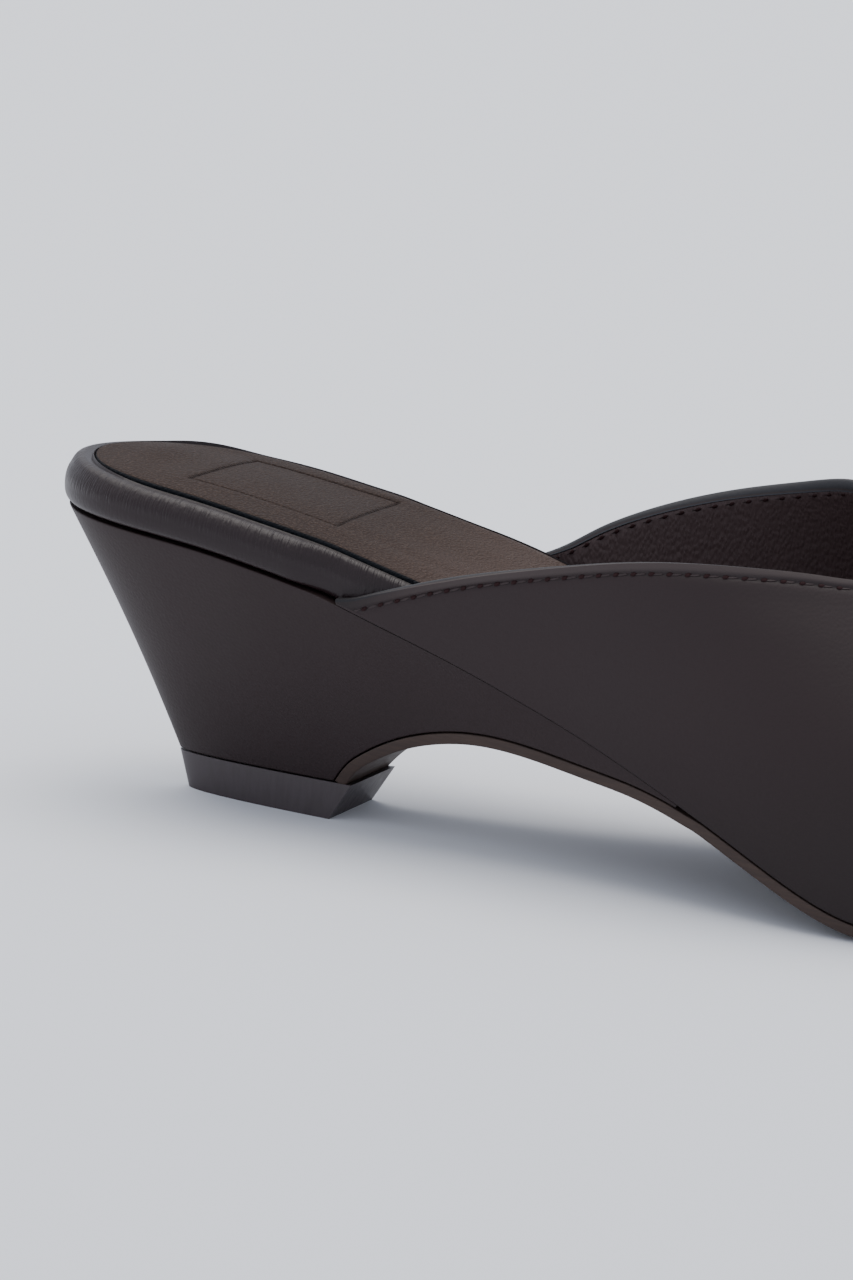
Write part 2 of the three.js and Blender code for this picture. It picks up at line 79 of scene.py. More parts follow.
# Shares and ratios of the last; a station is a share of the length
WEDGE_FRONT = 0.513  # station where the wedge runs out
ENTRY_START = 0.214  # station where the rim begins to tuck inside the upper
ENTRY_END = 0.246  # and where it is tucked in
BOARD_END = 0.966  # station where board and sock stop, inside the toe
PADDING_FROM = 0.48  # stations between which the sock's padding runs out
PADDING_TO = 0.77
LEAD_FROM = 0.1  # station where the plan's middle begins to leave the heel's centre line
TUCK_SHARE = 0.62  # how much of the rim's rounding and the sock's inset is left when tucked in
STEEP = 1.25  # how long a step along the sole's thickness is, on the level, at the breast
LEAST_LEAN = 0.05  # least share of the breast that the foot of the wedge's back leans in
ARCH_CROWDING = 1.25  # rows of the arch stand closer together at the breast

# Sizes of what the solids leave out
FOLD_WIDTH = 2.0  # folded topline, edge to groove
FOLD_PUFF = 0.26  # how far it stands out
GROOVE_DEPTH = 0.2  # stitched groove below it
GROOVE_WIDTH = 0.36
SWELL = 0.1  # soft swelling of the leather below the groove
SWELL_BELOW = 1.6  # its middle, below the groove's
SWELL_WIDTH = 1.1
SOFT_FROM = 3.0  # distance from the topline where the leather's unevenness starts
SOFT_FULL = 14.0  # and where all of it is there
LEATHER = 1.1  # outer leather's share of the wall
LINING_PLAY = 0.04  # between leather and lining
LINING_PROUD = 0.02  # how far the lining's face stands in from the wall's
BLUNT_END = 1.2  # height of the upper's folded back ends
FEATHER_ROUND = 0.6  # rounding of the upper's lower edge
STITCH_PITCH = 3.25
STITCH_LINE = 2.3  # below the topline
INNER_STITCH_LINE = 1.65  # the same on the lining
STITCH_RISE = 0.1  # how far the outer stitches lie above the groove's bottom
RIM_CROWN = 0.22  # how far the rim's padded top swells over the board
RIM_BACK = 3.6  # how much more it does at the back of the heel
RIM_INNER = 4.4  # and on the inner side of the foot
SOCK_DOME = 1.1  # how far the sock's middle stands above its edge
EDGE_ROLL = 0.28  # how far the sock's edge is pressed down
EDGE_ROLL_WIDTH = 0.5
WEDGE_DROP = 0.2  # worn gap between wedge and rim, over the fit
WEDGE_TOP_ROUND = 0.45  # rounding of the wedge's upper edge beside the rim
WEDGE_TUCKED_ROUND = 0.08  # and under the upper
WEDGE_FOOT_ROUND = 0.3  # and beside the lift and the sole
SOLE_TOP_ROUND = 0.25
SOLE_FOOT_ROUND = 0.45
LIFT_ROUND = 0.6

# Plan of the last: station, half width (a share of the seat's)
SEAT_PLAN = np.array([
    (0, 0), (0.012, 0.43), (0.038, 0.735), (0.078, 0.92), (0.125, 0.99), (0.175, 1),
    (0.235, 0.965), (0.3, 0.925), (0.37, 0.905),
])
# The same ahead of the seat: station, centre, half width (shares of the ball's half width)
FRONT_PLAN = np.array([
    (0.3, -0.03, 0.706), (0.37, -0.045, 0.7), (0.425, -0.055, 0.735), (0.48, -0.06, 0.802),
    (0.54, -0.06, 0.888), (0.59, -0.058, 0.957), (0.64, -0.052, 0.995), (0.69, -0.035, 0.98),
    (0.745, -0.005, 0.912), (0.8, 0.035, 0.79), (0.86, 0.08, 0.62), (0.915, 0.11, 0.432),
    (0.955, 0.125, 0.286), (0.985, 0.132, 0.158), (1, 0.135, 0),
])
# Feather line: station, rise, spring, arch
FEATHER_LINE = np.array([
    (0, 1, 0, 0.1), (0.05, 0.982, 0, 0.1), (0.1, 0.957, 0, 0.1), (0.15, 0.9255, 0, 0.12),
    (0.19, 0.886, 0, 0.18), (0.225, 0.842, 0, 0.3), (0.28, 0.745, 0, 0.6), (0.335, 0.647, 0, 0.88),
    (0.39, 0.546, 0, 1), (0.45, 0.436, 0, 0.95), (0.5, 0.333, 0, 0.78), (0.55, 0.22, 0, 0.52),
    (0.6, 0.0985, 0, 0.25), (0.64, 0.0216, 0, 0.06), (0.69, -0.004, -0.02, 0),
    (0.75, -0.004, -0.03, 0), (0.82, -0.004, 0.13, 0), (0.9, -0.004, 0.47, 0),
    (1, -0.004, 1, 0),
])
# Ridge of the last: station, instep, toe, across, squareness
RIDGE_LINE = np.array([
    (0.2, 1.1, 0, 0.05, 2.7), (0.35, 1.07, 0, 0.08, 2.6), (0.45, 1.04, 0, 0.12, 2.45),
    (0.53, 0.99, 0, 0.15, 2.3), (0.59, 0.915, 0, 0.16, 2.2), (0.64, 0.835, 0, 0.16, 2.15),
    (0.69, 0.72, 0.1, 0.155, 2.1), (0.75, 0.54, 0.3, 0.145, 2.1), (0.82, 0.31, 0.65, 0.14, 2.1),
    (0.89, 0.13, 0.88, 0.135, 2.15), (0.95, 0.03, 0.93, 0.135, 2.2),
    (0.985, 0, 0.74, 0.135, 2.2), (1, 0, 0.42, 0.135, 2.2),
])
# Topline: rise as a share of the ridge, station on the outer side and on the inner side
TOPLINE = np.array([
    (0, 0.244, 0.272), (0.03, 0.2623, 0.2915), (0.06, 0.2747, 0.305), (0.12, 0.2979, 0.3294),
    (0.25, 0.3514, 0.3681), (0.4, 0.4175, 0.4155), (0.55, 0.4823, 0.4662), (0.7, 0.5439, 0.5126),
    (0.82, 0.5865, 0.5437), (0.9, 0.6135, 0.565), (0.96, 0.6265, 0.5935), (1, 0.634, 0.634),
])
# Arch under the wedge: along, rise, spread
ARCH_LINE = np.array([
    (0, 0, 0), (0.04, 0.1, 0.12), (0.09, 0.186, 0.23), (0.19, 0.325, 0.4), (0.3, 0.449, 0.55),
    (0.45, 0.581, 0.72), (0.62, 0.683, 0.865), (0.78, 0.78, 0.945), (0.9, 0.9, 0.98), (1, 1, 1),
])
# Insole board: station, thickness as a share of the rim's at the back of the heel
BOARD_LINE = np.array([
    (0, 1), (0.06, 0.955), (0.12, 0.915), (0.2, 0.905), (0.26, 0.975), (0.31, 1.04), (0.36, 1.02),
    (0.42, 0.91), (0.49, 0.7), (0.55, 0.5), (0.62, 0.4), (0.7, 0.39), (1, 0.39),
])
# Section of the rim: inset (share of its rounding), height (share of the board)
RIM_SECTION = np.array([
    (0.6, 0), (0.38, 0.03), (0.16, 0.1), (0.03, 0.23), (0, 0.42), (0.05, 0.6), (0.17, 0.755),
    (0.38, 0.88), (0.66, 0.96), (1, 1),
])


TINY = 1e-9  # keeps a length off zero where it is divided by
WELD = 2e-6  # points of a skin closer than this, in metres, are one
MOST_OF_SIDE = 0.45  # most of the side beside a corner that its rounding takes


def spline(x, y):
    """Natural cubic spline through the points."""
    x = np.asarray(x, float)
    y = np.asarray(y, float)
    width = np.diff(x)
    slope = np.diff(y) / width
    count = len(x)
    rule = np.eye(count)
    turn = np.zeros(count)
    for i in range(1, count - 1):
        rule[i, i - 1:i + 2] = width[i - 1], 2 * (width[i - 1] + width[i]), width[i]
        turn[i] = slope[i] - slope[i - 1]
    bend = np.linalg.solve(rule, turn)

    def curve(at):
        at = np.asarray(at, float)
        i = np.clip(np.searchsorted(x, at) - 1, 0, count - 2)
        a = (x[i + 1] - at) / width[i]
        b = (at - x[i]) / width[i]
        bent = (a ** 3 - a) * bend[i] + (b ** 3 - b) * bend[i + 1]
        return a * y[i] + b * y[i + 1] + bent * width[i] ** 2

    return curve


def turn_of(share):
    """A share of the length as an angle, so that a plan rounds off at both ends."""
    return np.arccos(1 - 2 * np.clip(share, 0, 1)) / math.pi


def station_of(turn):
    return LENGTH * (1 - np.cos(math.pi * np.asarray(turn))) / 2


def smooth(start, end, at):
    share = np.clip((np.asarray(at, float) - start) / (end - start), 0, 1)
    return share * share * (3 - 2 * share)


def lerp(a, b, share):
    return a + (b - a) * share


seat_half = spline(turn_of(SEAT_PLAN[:, 0]), SEAT_PLAN[:, 1])
front_half = spline(turn_of(FRONT_PLAN[:, 0]), FRONT_PLAN[:, 2])
front_centre = spline(FRONT_PLAN[:, 0], FRONT_PLAN[:, 1])
feather_rise = spline(FEATHER_LINE[:, 0], FEATHER_LINE[:, 1])
feather_spring = spline(FEATHER_LINE[:, 0], FEATHER_LINE[:, 2])
feather_arch = spline(FEATHER_LINE[:, 0], FEATHER_LINE[:, 3])
ridge_instep = spline(RIDGE_LINE[:, 0], RIDGE_LINE[:, 1])
ridge_toe = spline(RIDGE_LINE[:, 0], RIDGE_LINE[:, 2])
ridge_across = spline(RIDGE_LINE[:, 0], RIDGE_LINE[:, 3])
ridge_square = spline(RIDGE_LINE[:, 0], RIDGE_LINE[:, 4])
cut_lateral = spline(TOPLINE[:, 0], TOPLINE[:, 1])
cut_medial = spline(TOPLINE[:, 0], TOPLINE[:, 2])
arch_rise = spline(ARCH_LINE[:, 0], ARCH_LINE[:, 1])
arch_spread = spline(ARCH_LINE[:, 0], ARCH_LINE[:, 2])
board_thick = spline(BOARD_LINE[:, 0], BOARD_LINE[:, 1])
ARCH_END = FEATHER_LINE[FEATHER_LINE[:, 3] == 0][0, 0]


def plan(station):
    """Middle and half width of the last at the feather line."""
    share = np.asarray(station, float) / LENGTH
    turn = turn_of(share)
    blend = smooth(SEAT_PLAN[-2, 0], SEAT_PLAN[-1, 0], share)
    seat = np.where(share < SEAT_PLAN[-1, 0], seat_half(turn) * SEAT_WIDTH / 2, 0)
    ahead = share > FRONT_PLAN[0, 0]
    front = np.where(ahead, front_half(turn) * BALL_WIDTH / 2, 0)
    middle = np.where(ahead, front_centre(share), FRONT_PLAN[0, 1])
    lead = smooth(LEAD_FROM, FRONT_PLAN[0, 0], share)
    half = np.maximum(0, seat * (1 - blend) + front * blend)
    return lead * middle * BALL_WIDTH / 2, half


def feather(station, across):
    """Height of the footbed's underside."""
    share = np.asarray(station, float) / LENGTH
    rise = np.maximum(0, feather_rise(share))
    spring = np.maximum(0, feather_spring(share))
    arch = np.where(share < ARCH_END, np.maximum(0, feather_arch(share)), 0)
    stack = SOLE_THICKNESS + FIT
    height = stack + (SEAT_HEIGHT - stack) * rise + TOE_SPRING * spring
    lean = (across - plan(station)[0]) / (SEAT_WIDTH / 2)
    return height + (lean + 1) / 2 * ARCH_LIFT * arch


def plan_point(station, side, inset):
    """A point of the plan, moved inwards along its own normal."""
    station = np.asarray(station, float)
    step = 1e-3
    turn = turn_of(station / LENGTH)

    def edge(at):
        along = station_of(at)
        middle, half = plan(along)
        return along, middle + side * half

    s, across = edge(turn)
    s0, across0 = edge(np.clip(turn - step, 0, 1))
    s1, across1 = edge(np.clip(turn + step, 0, 1))
    length = np.maximum(np.hypot(s1 - s0, across1 - across0), TINY)
    along = np.where((turn < step) | (turn > 1 - step), 0, (s1 - s0) / length)
    outward = side * (across1 - across0) / length
    outward = np.where(turn < step, 1, np.where(turn > 1 - step, -1, outward))
    return s + outward * inset, across - side * along * inset


def ridge_height(station):
    share = np.asarray(station, float) / LENGTH
    instep = INSTEP_HEIGHT * np.maximum(0, ridge_instep(share))
    return instep + TOE_BOX_HEIGHT * np.maximum(0, ridge_toe(share))


def last_point(station, side, rise, inset):
    """A point on the last's section, at a share of the ridge's height."""
    near, across = plan_point(station, side, inset)
    opposite = plan_point(station, -side, inset)[0]
    middle, half = plan(station)
    square = ridge_square(station / LENGTH)
    rise = np.clip(rise, 0, 1)
    wide = np.where(rise < 1, (1 - rise ** square) ** (1 / square), 0)
    s = lerp((near + opposite) / 2, near, wide)
    ridge = middle + ridge_across(station / LENGTH) * half
    base = lerp(feather(s, middle), feather(s, across), wide)
    swell = SIDE_BULGE * half * 4 * rise * (1 - rise) / (BALL_WIDTH / 2)
    height = base + (ridge_height(s) - inset) * rise
    return np.stack([s, lerp(ridge, across, wide) + side * swell, height], -1)


def upper_point(turn, way, inset):
    """way goes round the section from -1 at the outer feather line, over 0, to 1."""
    side = np.where(way < 0, -1.0, 1.0)
    rise = np.cos(np.abs(way) * math.pi / 2)
    return last_point(station_of(turn), side, rise, inset)


def way_at_height(turn, side, height):
    """Where the upper's section is this high above the feather line."""
    rise = np.clip(height / ridge_height(station_of(turn)), 0, 1)
    return side * (1 - np.arcsin(rise) * 2 / math.pi)


def in_row(points):
    """Millimetres by station into metres in the frame."""
    shift = np.array([-LENGTH / 2, ACROSS_SHIFT, 0])
    return (np.asarray(points, float) + shift) / 1000


def rows_between(start, end, count):
    """Stations closer together at the back of the seat and at the toe."""
    return station_of(np.linspace(turn_of(start / LENGTH), turn_of(end / LENGTH), count + 1))


def lengths_along(points):
    """Running length along the second last axis."""
    steps = np.linalg.norm(np.diff(points, axis=-2), axis=-1)
    start = np.zeros(steps.shape[:-1] + (1,))
    return np.concatenate([start, np.cumsum(steps, -1)], -1)


def even_spacing(points, count):
    """The line's own positions, 0 to 1, of count + 1 points evenly spaced along it."""
    length = lengths_along(points)
    place = np.linspace(0, 1, len(points))
    return np.interp(np.linspace(0, length[-1], count + 1), length, place)


def rounded(rings, corners, steps):
    """Rounds corners of closed rings: corners maps a column to its radius in millimetres."""
    count = rings.shape[1]
    columns = []
    for j in range(count):
        here = rings[:, j]
        if j not in corners:
            columns.append(here)
            continue
        before = rings[:, j - 1] - here
        after = rings[:, (j + 1) % count] - here
        reach = []
        for way in (before, after):
            length = np.maximum(np.linalg.norm(way, axis=-1), TINY)
            share = np.minimum(corners[j], length * MOST_OF_SIDE) / length
            reach.append(here + way * share[:, None])
        for share in np.linspace(0, 1, steps + 1):
            first = lerp(reach[0], here, share)
            second = lerp(here, reach[1], share)
            columns.append(lerp(first, second, share))
    return np.stack(columns, 1)


def ring_skin(name, rings, values=None, sharp=38):
    """A closed body over rings of points, with named values kept for each point."""
    rows, columns = rings.shape[:2]
    mesh = bpy.data.meshes.new(name)
    index = np.arange(rows * columns).reshape(rows, columns)
    after = np.roll(index, -1, axis=1)
    quads = np.stack([index[:-1], index[1:], after[1:], after[:-1]], -1).reshape(-1, 4)
    faces = quads.tolist() + [index[0].tolist(), index[-1][::-1].tolist()]
    mesh.from_pydata(in_row(rings).reshape(-1, 3).tolist(), [], faces)
    for key, value in (values or {}).items():
        layer = mesh.attributes.new(key, "FLOAT", "POINT")
        spread = np.broadcast_to(value, (rows, columns)).astype(np.float32)
        layer.data.foreach_set("value", spread.ravel())
    work = bmesh.new()
    work.from_mesh(mesh)
    bmesh.ops.remove_doubles(work, verts=work.verts, dist=WELD)
    bmesh.ops.recalc_face_normals(work, faces=work.faces)
    work.to_mesh(mesh)
    work.free()
    mesh.shade_smooth()
    mesh.set_sharp_from_angle(angle=math.radians(sharp))
    piece = bpy.data.objects.new(name, mesh)
    bpy.context.scene.collection.objects.link(piece)
    return piece


# Upper: leather folded over the topline, and its lining
BACK_END_RISE = 0.03  # rise on the topline where its blunt end is measured
FINE_POINTS = 600  # points of an edge before they are spaced evenly
MIDDLE_CLIMB = 1.6  # how late the lines' middle corners climb to the ridge
LINE_POINTS = 49  # points of a line from the topline to its middle corner
FULL_LINE = 20.0  # a line shorter than this has its rows drawn together
DEEP = 20.0  # the mark of what lies far below the topline
TOP_ROUND = UPPER_WALL / 2
LINING_BACK = LEATHER + LINING_PLAY
LINING_FACE = UPPER_WALL + LINING_PROUD

# Depths of the outside's rows near the topline
NEAR_EDGE = np.array([
    0.9, 1.1, 1.35, 1.6, 1.82, 2, 2.15, 2.28, 2.39, 2.5, 2.61,
    2.73, 2.88, 3.1, 3.4, 3.8, 4.4, 5.2, 6.4, 8, 10, 12,
])
# Over the fold: depth below the topline, inset from the outside
OVER_FOLD = [
    (TOP_ROUND * (1 - math.sin(angle)), TOP_ROUND * (1 - math.cos(angle)))
    for angle in np.linspace(0, math.pi, 11)[1:-1]
]
# Leather turned in behind the fold and cut there: depth, inset
TURNED_IN = [
    (0.92, 1.82), (0.98, 1.84), (1.05, 1.8), (1.11, 1.7), (1.15, 1.5), (1.18, LEATHER), (6, LEATHER),
]
# Cut edge of the lining and its rows below: depth, inset
LINING_EDGE = [
    (1.24, LINING_BACK), (1.24, LINING_FACE - 0.3), (1.3, LINING_FACE - 0.08), (1.4, LINING_FACE),
    (3.2, LINING_FACE), (6, LINING_FACE), (12, LINING_FACE),
]
LINING_BACK_DEPTHS = (12, 6)  # rows back up between lining and leather
# Soft unevenness of the upper's leather: station, way, half length along,
# half width round the section, height
HOLLOWS = [
    (112, -0.72, 26, 0.12, -0.28),
    (150, -0.55, 30, 0.16, 0.25),
    (176, -0.82, 24, 0.1, -0.22),
    (196, -0.45, 16, 0.2, -0.3),
    (205, 0.1, 14, 0.5, -0.22),
    (188, 0.45, 18, 0.2, -0.25),
    (150, 0.7, 30, 0.15, -0.2),
]


def topline_way(side, count):
    """Turn and way of the topline on one side, from its back end to the throat."""
    cut = cut_lateral if side < 0 else cut_medial
    start = BLUNT_END / ridge_height(cut(BACK_END_RISE) * LENGTH)
    rise = np.sin(np.linspace(math.asin(start), math.pi / 2, count))
    turn = turn_of(cut(rise))
    return turn, side * (1 - np.arcsin(rise) * 2 / math.pi)


def lower_way(side, start, count):
    """The same for the upper's lower edge, from the back end to the toe."""
    turn = np.linspace(start, 1, count)
    return turn, way_at_height(turn, side, FEATHER_ROUND)


def spaced_evenly(turn, way, count):
    """The same edge of the upper by count + 1 evenly spaced points."""
    even = even_spacing(upper_point(turn, way, 0), count)
    place = np.linspace(0, 1, len(turn))
    return np.interp(even, place, turn), np.interp(even, place, way)


def half_lines(side, count):
    """Lines of the upper on one side, from the topline down: three corners each."""
    top = spaced_evenly(*topline_way(side, FINE_POINTS), count)
    low = spaced_evenly(*lower_way(side, top[0][0], FINE_POINTS), count)
    share = np.linspace(0, 1, count + 1) ** MIDDLE_CLIMB
    middle = low[0], low[1] * (1 - share)
    return np.stack([np.stack(corner, -1) for corner in (top, middle, low)], 1)


class UpperLines:
    """The upper as lines from the topline down to the feather line, side by side."""

    def __init__(self, count):
        outer = half_lines(-1, count)
        inner = half_lines(1, count)
        self.corners = np.concatenate([outer, inner[-2::-1]], 0)
        self.share = np.linspace(0, 1, LINE_POINTS)
        self.flat = self.over_middle(self.share)
        self.surface = upper_point(self.flat[..., 0], self.flat[..., 1], 0)
        self.reach = lengths_along(self.surface)
        self.scale = np.minimum(1, self.reach[:, -1] / FULL_LINE)
        self.topline = self.surface[:, 0]

    def over_middle(self, shares):
        """Turn and way on every line at shares of the way from the topline to its middle corner."""
        top, middle = self.corners[:, 0], self.corners[:, 1]
        return top[:, None] + (middle - top)[:, None] * shares[..., None]

    def shares_at(self, depths):
        """Shares of every line at depths below the topline, shortened near the back ends."""
        depths = np.broadcast_to(depths, (len(self.corners), np.shape(depths)[-1]))
        lines = zip(depths, self.scale, self.reach)
        return np.stack([np.interp(deep * scale, reach, self.share) for deep, scale, reach in lines])

    def down(self, depths):
        """Turn and way at depths below the topline."""
        flat = self.over_middle(self.shares_at(depths))
        return flat[..., 0], flat[..., 1]

    def row(self, depth, inset):
        """One row of points along the topline, this far below it and inside the outer face."""
        turn, way = self.down([depth])
        return upper_point(turn, way, inset)

    def rest(self, start, middle_rows, low_rows):
        """Turn and way below the near rows, down to the rounding of the lower edge."""
        middle, low = self.corners[:, 1], self.corners[:, 2]
        first = self.shares_at([start])
        upper = self.over_middle(first + (1 - first) * np.linspace(0, 1, middle_rows + 1)[None, 1:])
        steps = np.linspace(0, 1, low_rows + 1)[None, 1:, None]
        lower = middle[:, None] + (low - middle)[:, None] * steps
        both = np.concatenate([upper, lower], 1)
        return both[..., 0], both[..., 1]

    def from_topline(self, points):
        """Distance of every point to the topline."""
        start = self.topline[:-1]
        step = np.diff(self.topline, axis=0)
        square = (step ** 2).sum(-1)
        found = np.empty(points.shape[:2])
        for i, row in enumerate(points):
            gap = row[:, None] - start
            share = np.clip((gap * step).sum(-1) / square, 0, 1)
            found[i] = np.linalg.norm(gap - share[..., None] * step, axis=-1).min(-1)
        return found

    def at_distance(self, distance):
        """Turn and way at a true distance from the topline, on the lines that reach it."""
        found = []
        for away, place in zip(self.from_topline(self.surface), self.flat):
            if away[-1] > distance:
                share = np.interp(distance, np.maximum.accumulate(away), self.share)
                found.append(place[0] + (place[-1] - place[0]) * share)
        found = np.array(found)
        return found[:, 0], found[:, 1]


def bell(away, width):
    """One in the middle, fading out to both sides."""
    return np.exp(-(away / width) ** 2)


def leather_relief(turn, way, distance):
    """How far the outer leather stands out: puffed fold, stitched groove and soft hollows."""
    half_fold = FOLD_WIDTH / 2
    puff = FOLD_PUFF * np.sqrt(np.clip(1 - ((distance - half_fold) / half_fold) ** 2, 0, 1))
    groove = -GROOVE_DEPTH * bell(distance - STITCH_LINE, GROOVE_WIDTH)
    swell = SWELL * bell(distance - STITCH_LINE - SWELL_BELOW, SWELL_WIDTH)
    soft = np.zeros_like(distance)
    for station, round_way, length, width, height in HOLLOWS:
        reach = ((station_of(turn) - station) / length) ** 2 + ((way - round_way) / width) ** 2
        soft = soft + height * np.exp(-reach)
    return puff + groove + swell + soft * smooth(SOFT_FROM, SOFT_FULL, distance)


def lower_edge(lines, steps):
    """Rounding of the upper's lower edge, from its inside to just before the outside."""
    low = lines.corners[:, 2]
    side = np.where(low[:, 1] < 0, -1.0, 1.0)
    rows = []
    for angle in np.linspace(math.pi / 2, 0, steps + 1)[:-1]:
        way = way_at_height(low[:, 0], side, FEATHER_ROUND * (1 - math.sin(angle)))
        inset = np.full(len(low), FEATHER_ROUND * (1 - math.cos(angle)))
        rows.append(upper_point(low[:, 0], way, inset))
    return np.stack(rows, 1)


def upper_leather(lines):
    near = lines.down(NEAR_EDGE)
    rest = lines.rest(NEAR_EDGE[-1], middle_rows=22, low_rows=9)
    turn, way = (np.concatenate(pair, 1) for pair in zip(near, rest))
    distance = lines.from_topline(upper_point(turn, way, 0))
    outside = upper_point(turn, way, -leather_relief(turn, way, distance))
    turned = OVER_FOLD + TURNED_IN
    turn, way = lines.rest(NEAR_EDGE[-1], middle_rows=12, low_rows=5)
    inside = upper_point(turn, way, LEATHER)
    parts = [outside[:, ::-1], *(lines.row(*place) for place in turned), inside, lower_edge(lines, 5)]
    rings = np.concatenate(parts, 1)
    below = np.full(rings.shape[:2], DEEP)
    outer_columns = outside.shape[1]
    below[:, :outer_columns] = distance[:, ::-1]
    below[:, outer_columns:outer_columns + len(turned)] = [depth for depth, _ in turned]
    inner_columns = np.arange(rings.shape[1]) >= outer_columns + len(OVER_FOLD)
    values = {"below_edge": below, "inside": inner_columns & (below < FOLD_WIDTH)}
    return ring_skin("upper_leather", rings, values)


def upper_lining(lines):
    turn, way = lines.rest(NEAR_EDGE[-1], middle_rows=22, low_rows=6)
    parts = [lines.row(depth, inset) for depth, inset in LINING_EDGE]
    parts.append(upper_point(turn, way, LINING_FACE))
    parts.append(upper_point(turn, way, LINING_BACK)[:, ::-1])
    parts += [lines.row(depth, LINING_BACK) for depth in LINING_BACK_DEPTHS]
    return ring_skin("upper_lining", np.concatenate(parts, 1))


# Wrapped insole board, with its rounded rim round the seat
RIM_ROWS = 300
RIM_COLUMNS = 25  # round the rim's section
BOARD_COLUMNS = 12  # across the board, between the rims
PLEAT_COLUMN = 8  # column of the rim's section along which its pleats are measured
CROWN_HEIGHTS = (0.8, 0.98)  # heights on the rim between which its crown comes in
# The rim's top beside the sock: distance from the sock's edge, height as a share of the crown
RIM_LIP = [(0.7, 0.5), (0.5, 1.0), (0.34, 1.35), (0.2, 1.0), (0.06, 0.1)]
LIP_MARK = 1.2  # rim_height there, told apart from the rest of the rim


def tuck(station):
    return smooth(ENTRY_START, ENTRY_END, station / LENGTH)


def past_back(station):
    """Runs from 0 at the very back of the heel to 1 where its round ends."""
    return smooth(0, SEAT_WIDTH / 2, station)


def board_thickness(station):
    return RIM_THICKNESS * board_thick(station / LENGTH)


def board_point(station, side, inset_share, height_share):
    tucked = tuck(station)
    under_upper = UPPER_WALL + FIT + inset_share * RIM_ROUND * TUCK_SHARE
    s, across = plan_point(station, side, lerp(inset_share * RIM_ROUND, under_upper, tucked))
    return np.stack([s, across, feather(s, across) + board_thickness(s) * height_share], -1)


def sock_inset(station):
    """How far inside the rim the sock's edge lies, before it runs into the upper."""
    return lerp(SOCK_BACK_INSET, SOCK_INSET, past_back(station))


def sock_edge(station, side, lift, more=0):
    inset = lerp(sock_inset(station), UPPER_WALL + FIT + SOCK_INSET * TUCK_SHARE, tuck(station)) + more
    s, across = plan_point(station, side, inset)
    return np.stack([s, across, feather(s, across) + board_thickness(s) + FIT + lift], -1)


def insole():
    stations = rows_between(0, BOARD_END * LENGTH, RIM_ROWS)
    step = np.linspace(0, 1, len(RIM_SECTION))
    fine = np.linspace(0, 1, RIM_COLUMNS)
    insets = spline(step, RIM_SECTION[:, 0])(fine)
    heights = spline(step, RIM_SECTION[:, 1])(fine)
    crown = RIM_CROWN * lerp(RIM_BACK, 1, past_back(stations))
    swell = np.concatenate([smooth(*CROWN_HEIGHTS, heights), [lift for _, lift in RIM_LIP]])
    sides = {}
    for side in (-1, 1):
        rim = [board_point(stations, side, a, b) for a, b in zip(insets, heights)]
        for before_sock, _ in RIM_LIP:
            rim.append(board_point(stations, side, (sock_inset(stations) - before_sock) / RIM_ROUND, 1))
        sides[side] = np.stack(rim, 1)
        more = RIM_INNER if side > 0 else 1
        sides[side][..., 2] += crown[:, None] * swell * lerp(1, more, past_back(stations))[:, None]
    across = np.linspace(0, 1, BOARD_COLUMNS + 2)[1:-1]
    top = lerp(sides[1][:, -1:], sides[-1][:, -1:], across[None, :, None])
    under = lerp(sides[-1][:, :1], sides[1][:, :1], across[None, :, None])
    rings = np.concatenate([sides[1], top, sides[-1][:, ::-1], under], 1)
    marks = np.concatenate([heights, np.full(len(RIM_LIP), LIP_MARK)])
    height = np.concatenate([marks, np.ones(BOARD_COLUMNS), marks[::-1], np.zeros(BOARD_COLUMNS)])
    outer_rim = len(marks) + BOARD_COLUMNS
    way = np.ones(len(height))
    way[outer_rim:outer_rim + len(marks)] = -1
    along = lengths_along(sides[-1][:, PLEAT_COLUMN])
    values = {"along": along[:, None] * way[None], "rim_height": height[None]}
    return ring_skin("insole_rim", rings, values)


# Sock lining over thin foam
SOCK_ROWS = 250
SOCK_COLUMNS = 61
PANEL_ROWS = (1.6, 0.16)  # extra rows beside the panel's line: how far from it, how close together
PANEL_COLUMNS = (0.036, 0.0033)  # the same across it, as shares of the sock's width
SOCK_EDGE_HALF = 0.45  # height on the sock's cut edge where it stands out most
SOCK_EDGE_BULGE = 0.06  # how far it does
SOFT_TO_EDGE = 4.0  # the soft hollows fade out this near the sock's edge
UNDERSIDE = -1.0  # from_edge on the sock's underside and cut edge
OFF_PANEL = 50.0  # from_panel there
# Blank panel pressed into the sock: its start, end and half width, the width and depth of its
# line, how far it sinks and over which distance, and the low swelling round it
PANEL = {"start": 30, "end": 60, "half": 14.6, "line": 0.4, "depth": 0.34, "sink": 0.08,
         "sink_reach": 0.6, "puff": 0.06, "puff_from": 2.2, "puff_width": 1.4}
# Soft shape of the padded sock: station, across, half length, half width, height
SOCK_HOLLOWS = [
    (30, 20, 34, 3, 0.45),
    (74, 17, 30, 3.6, 0.6),
    (80, -2, 15, 8, -0.9),
    (95, -15, 20, 5, 0.5),
    (12, 5, 8, 9, 0.4),
    (20, -6, 9, 8, -0.4),
    (106, 4, 12, 14, 0.6),
    (85, -13, 24, 2.6, -0.45),
    (16, 2, 5, 16, 0.35),
]


def crowded(values, middle, reach, step):
    """Values with more of them put in round one place."""
    kept = values[np.abs(values - middle) > reach]
    return np.sort(np.concatenate([kept, np.arange(middle - reach, middle + reach, step)]))


def panel_distance(s, across):
    """Distance outside the pressed panel's line, less than zero inside it."""
    along = np.maximum(PANEL["start"] - s, s - PANEL["end"])
    return np.maximum(along, np.abs(across) - PANEL["half"])


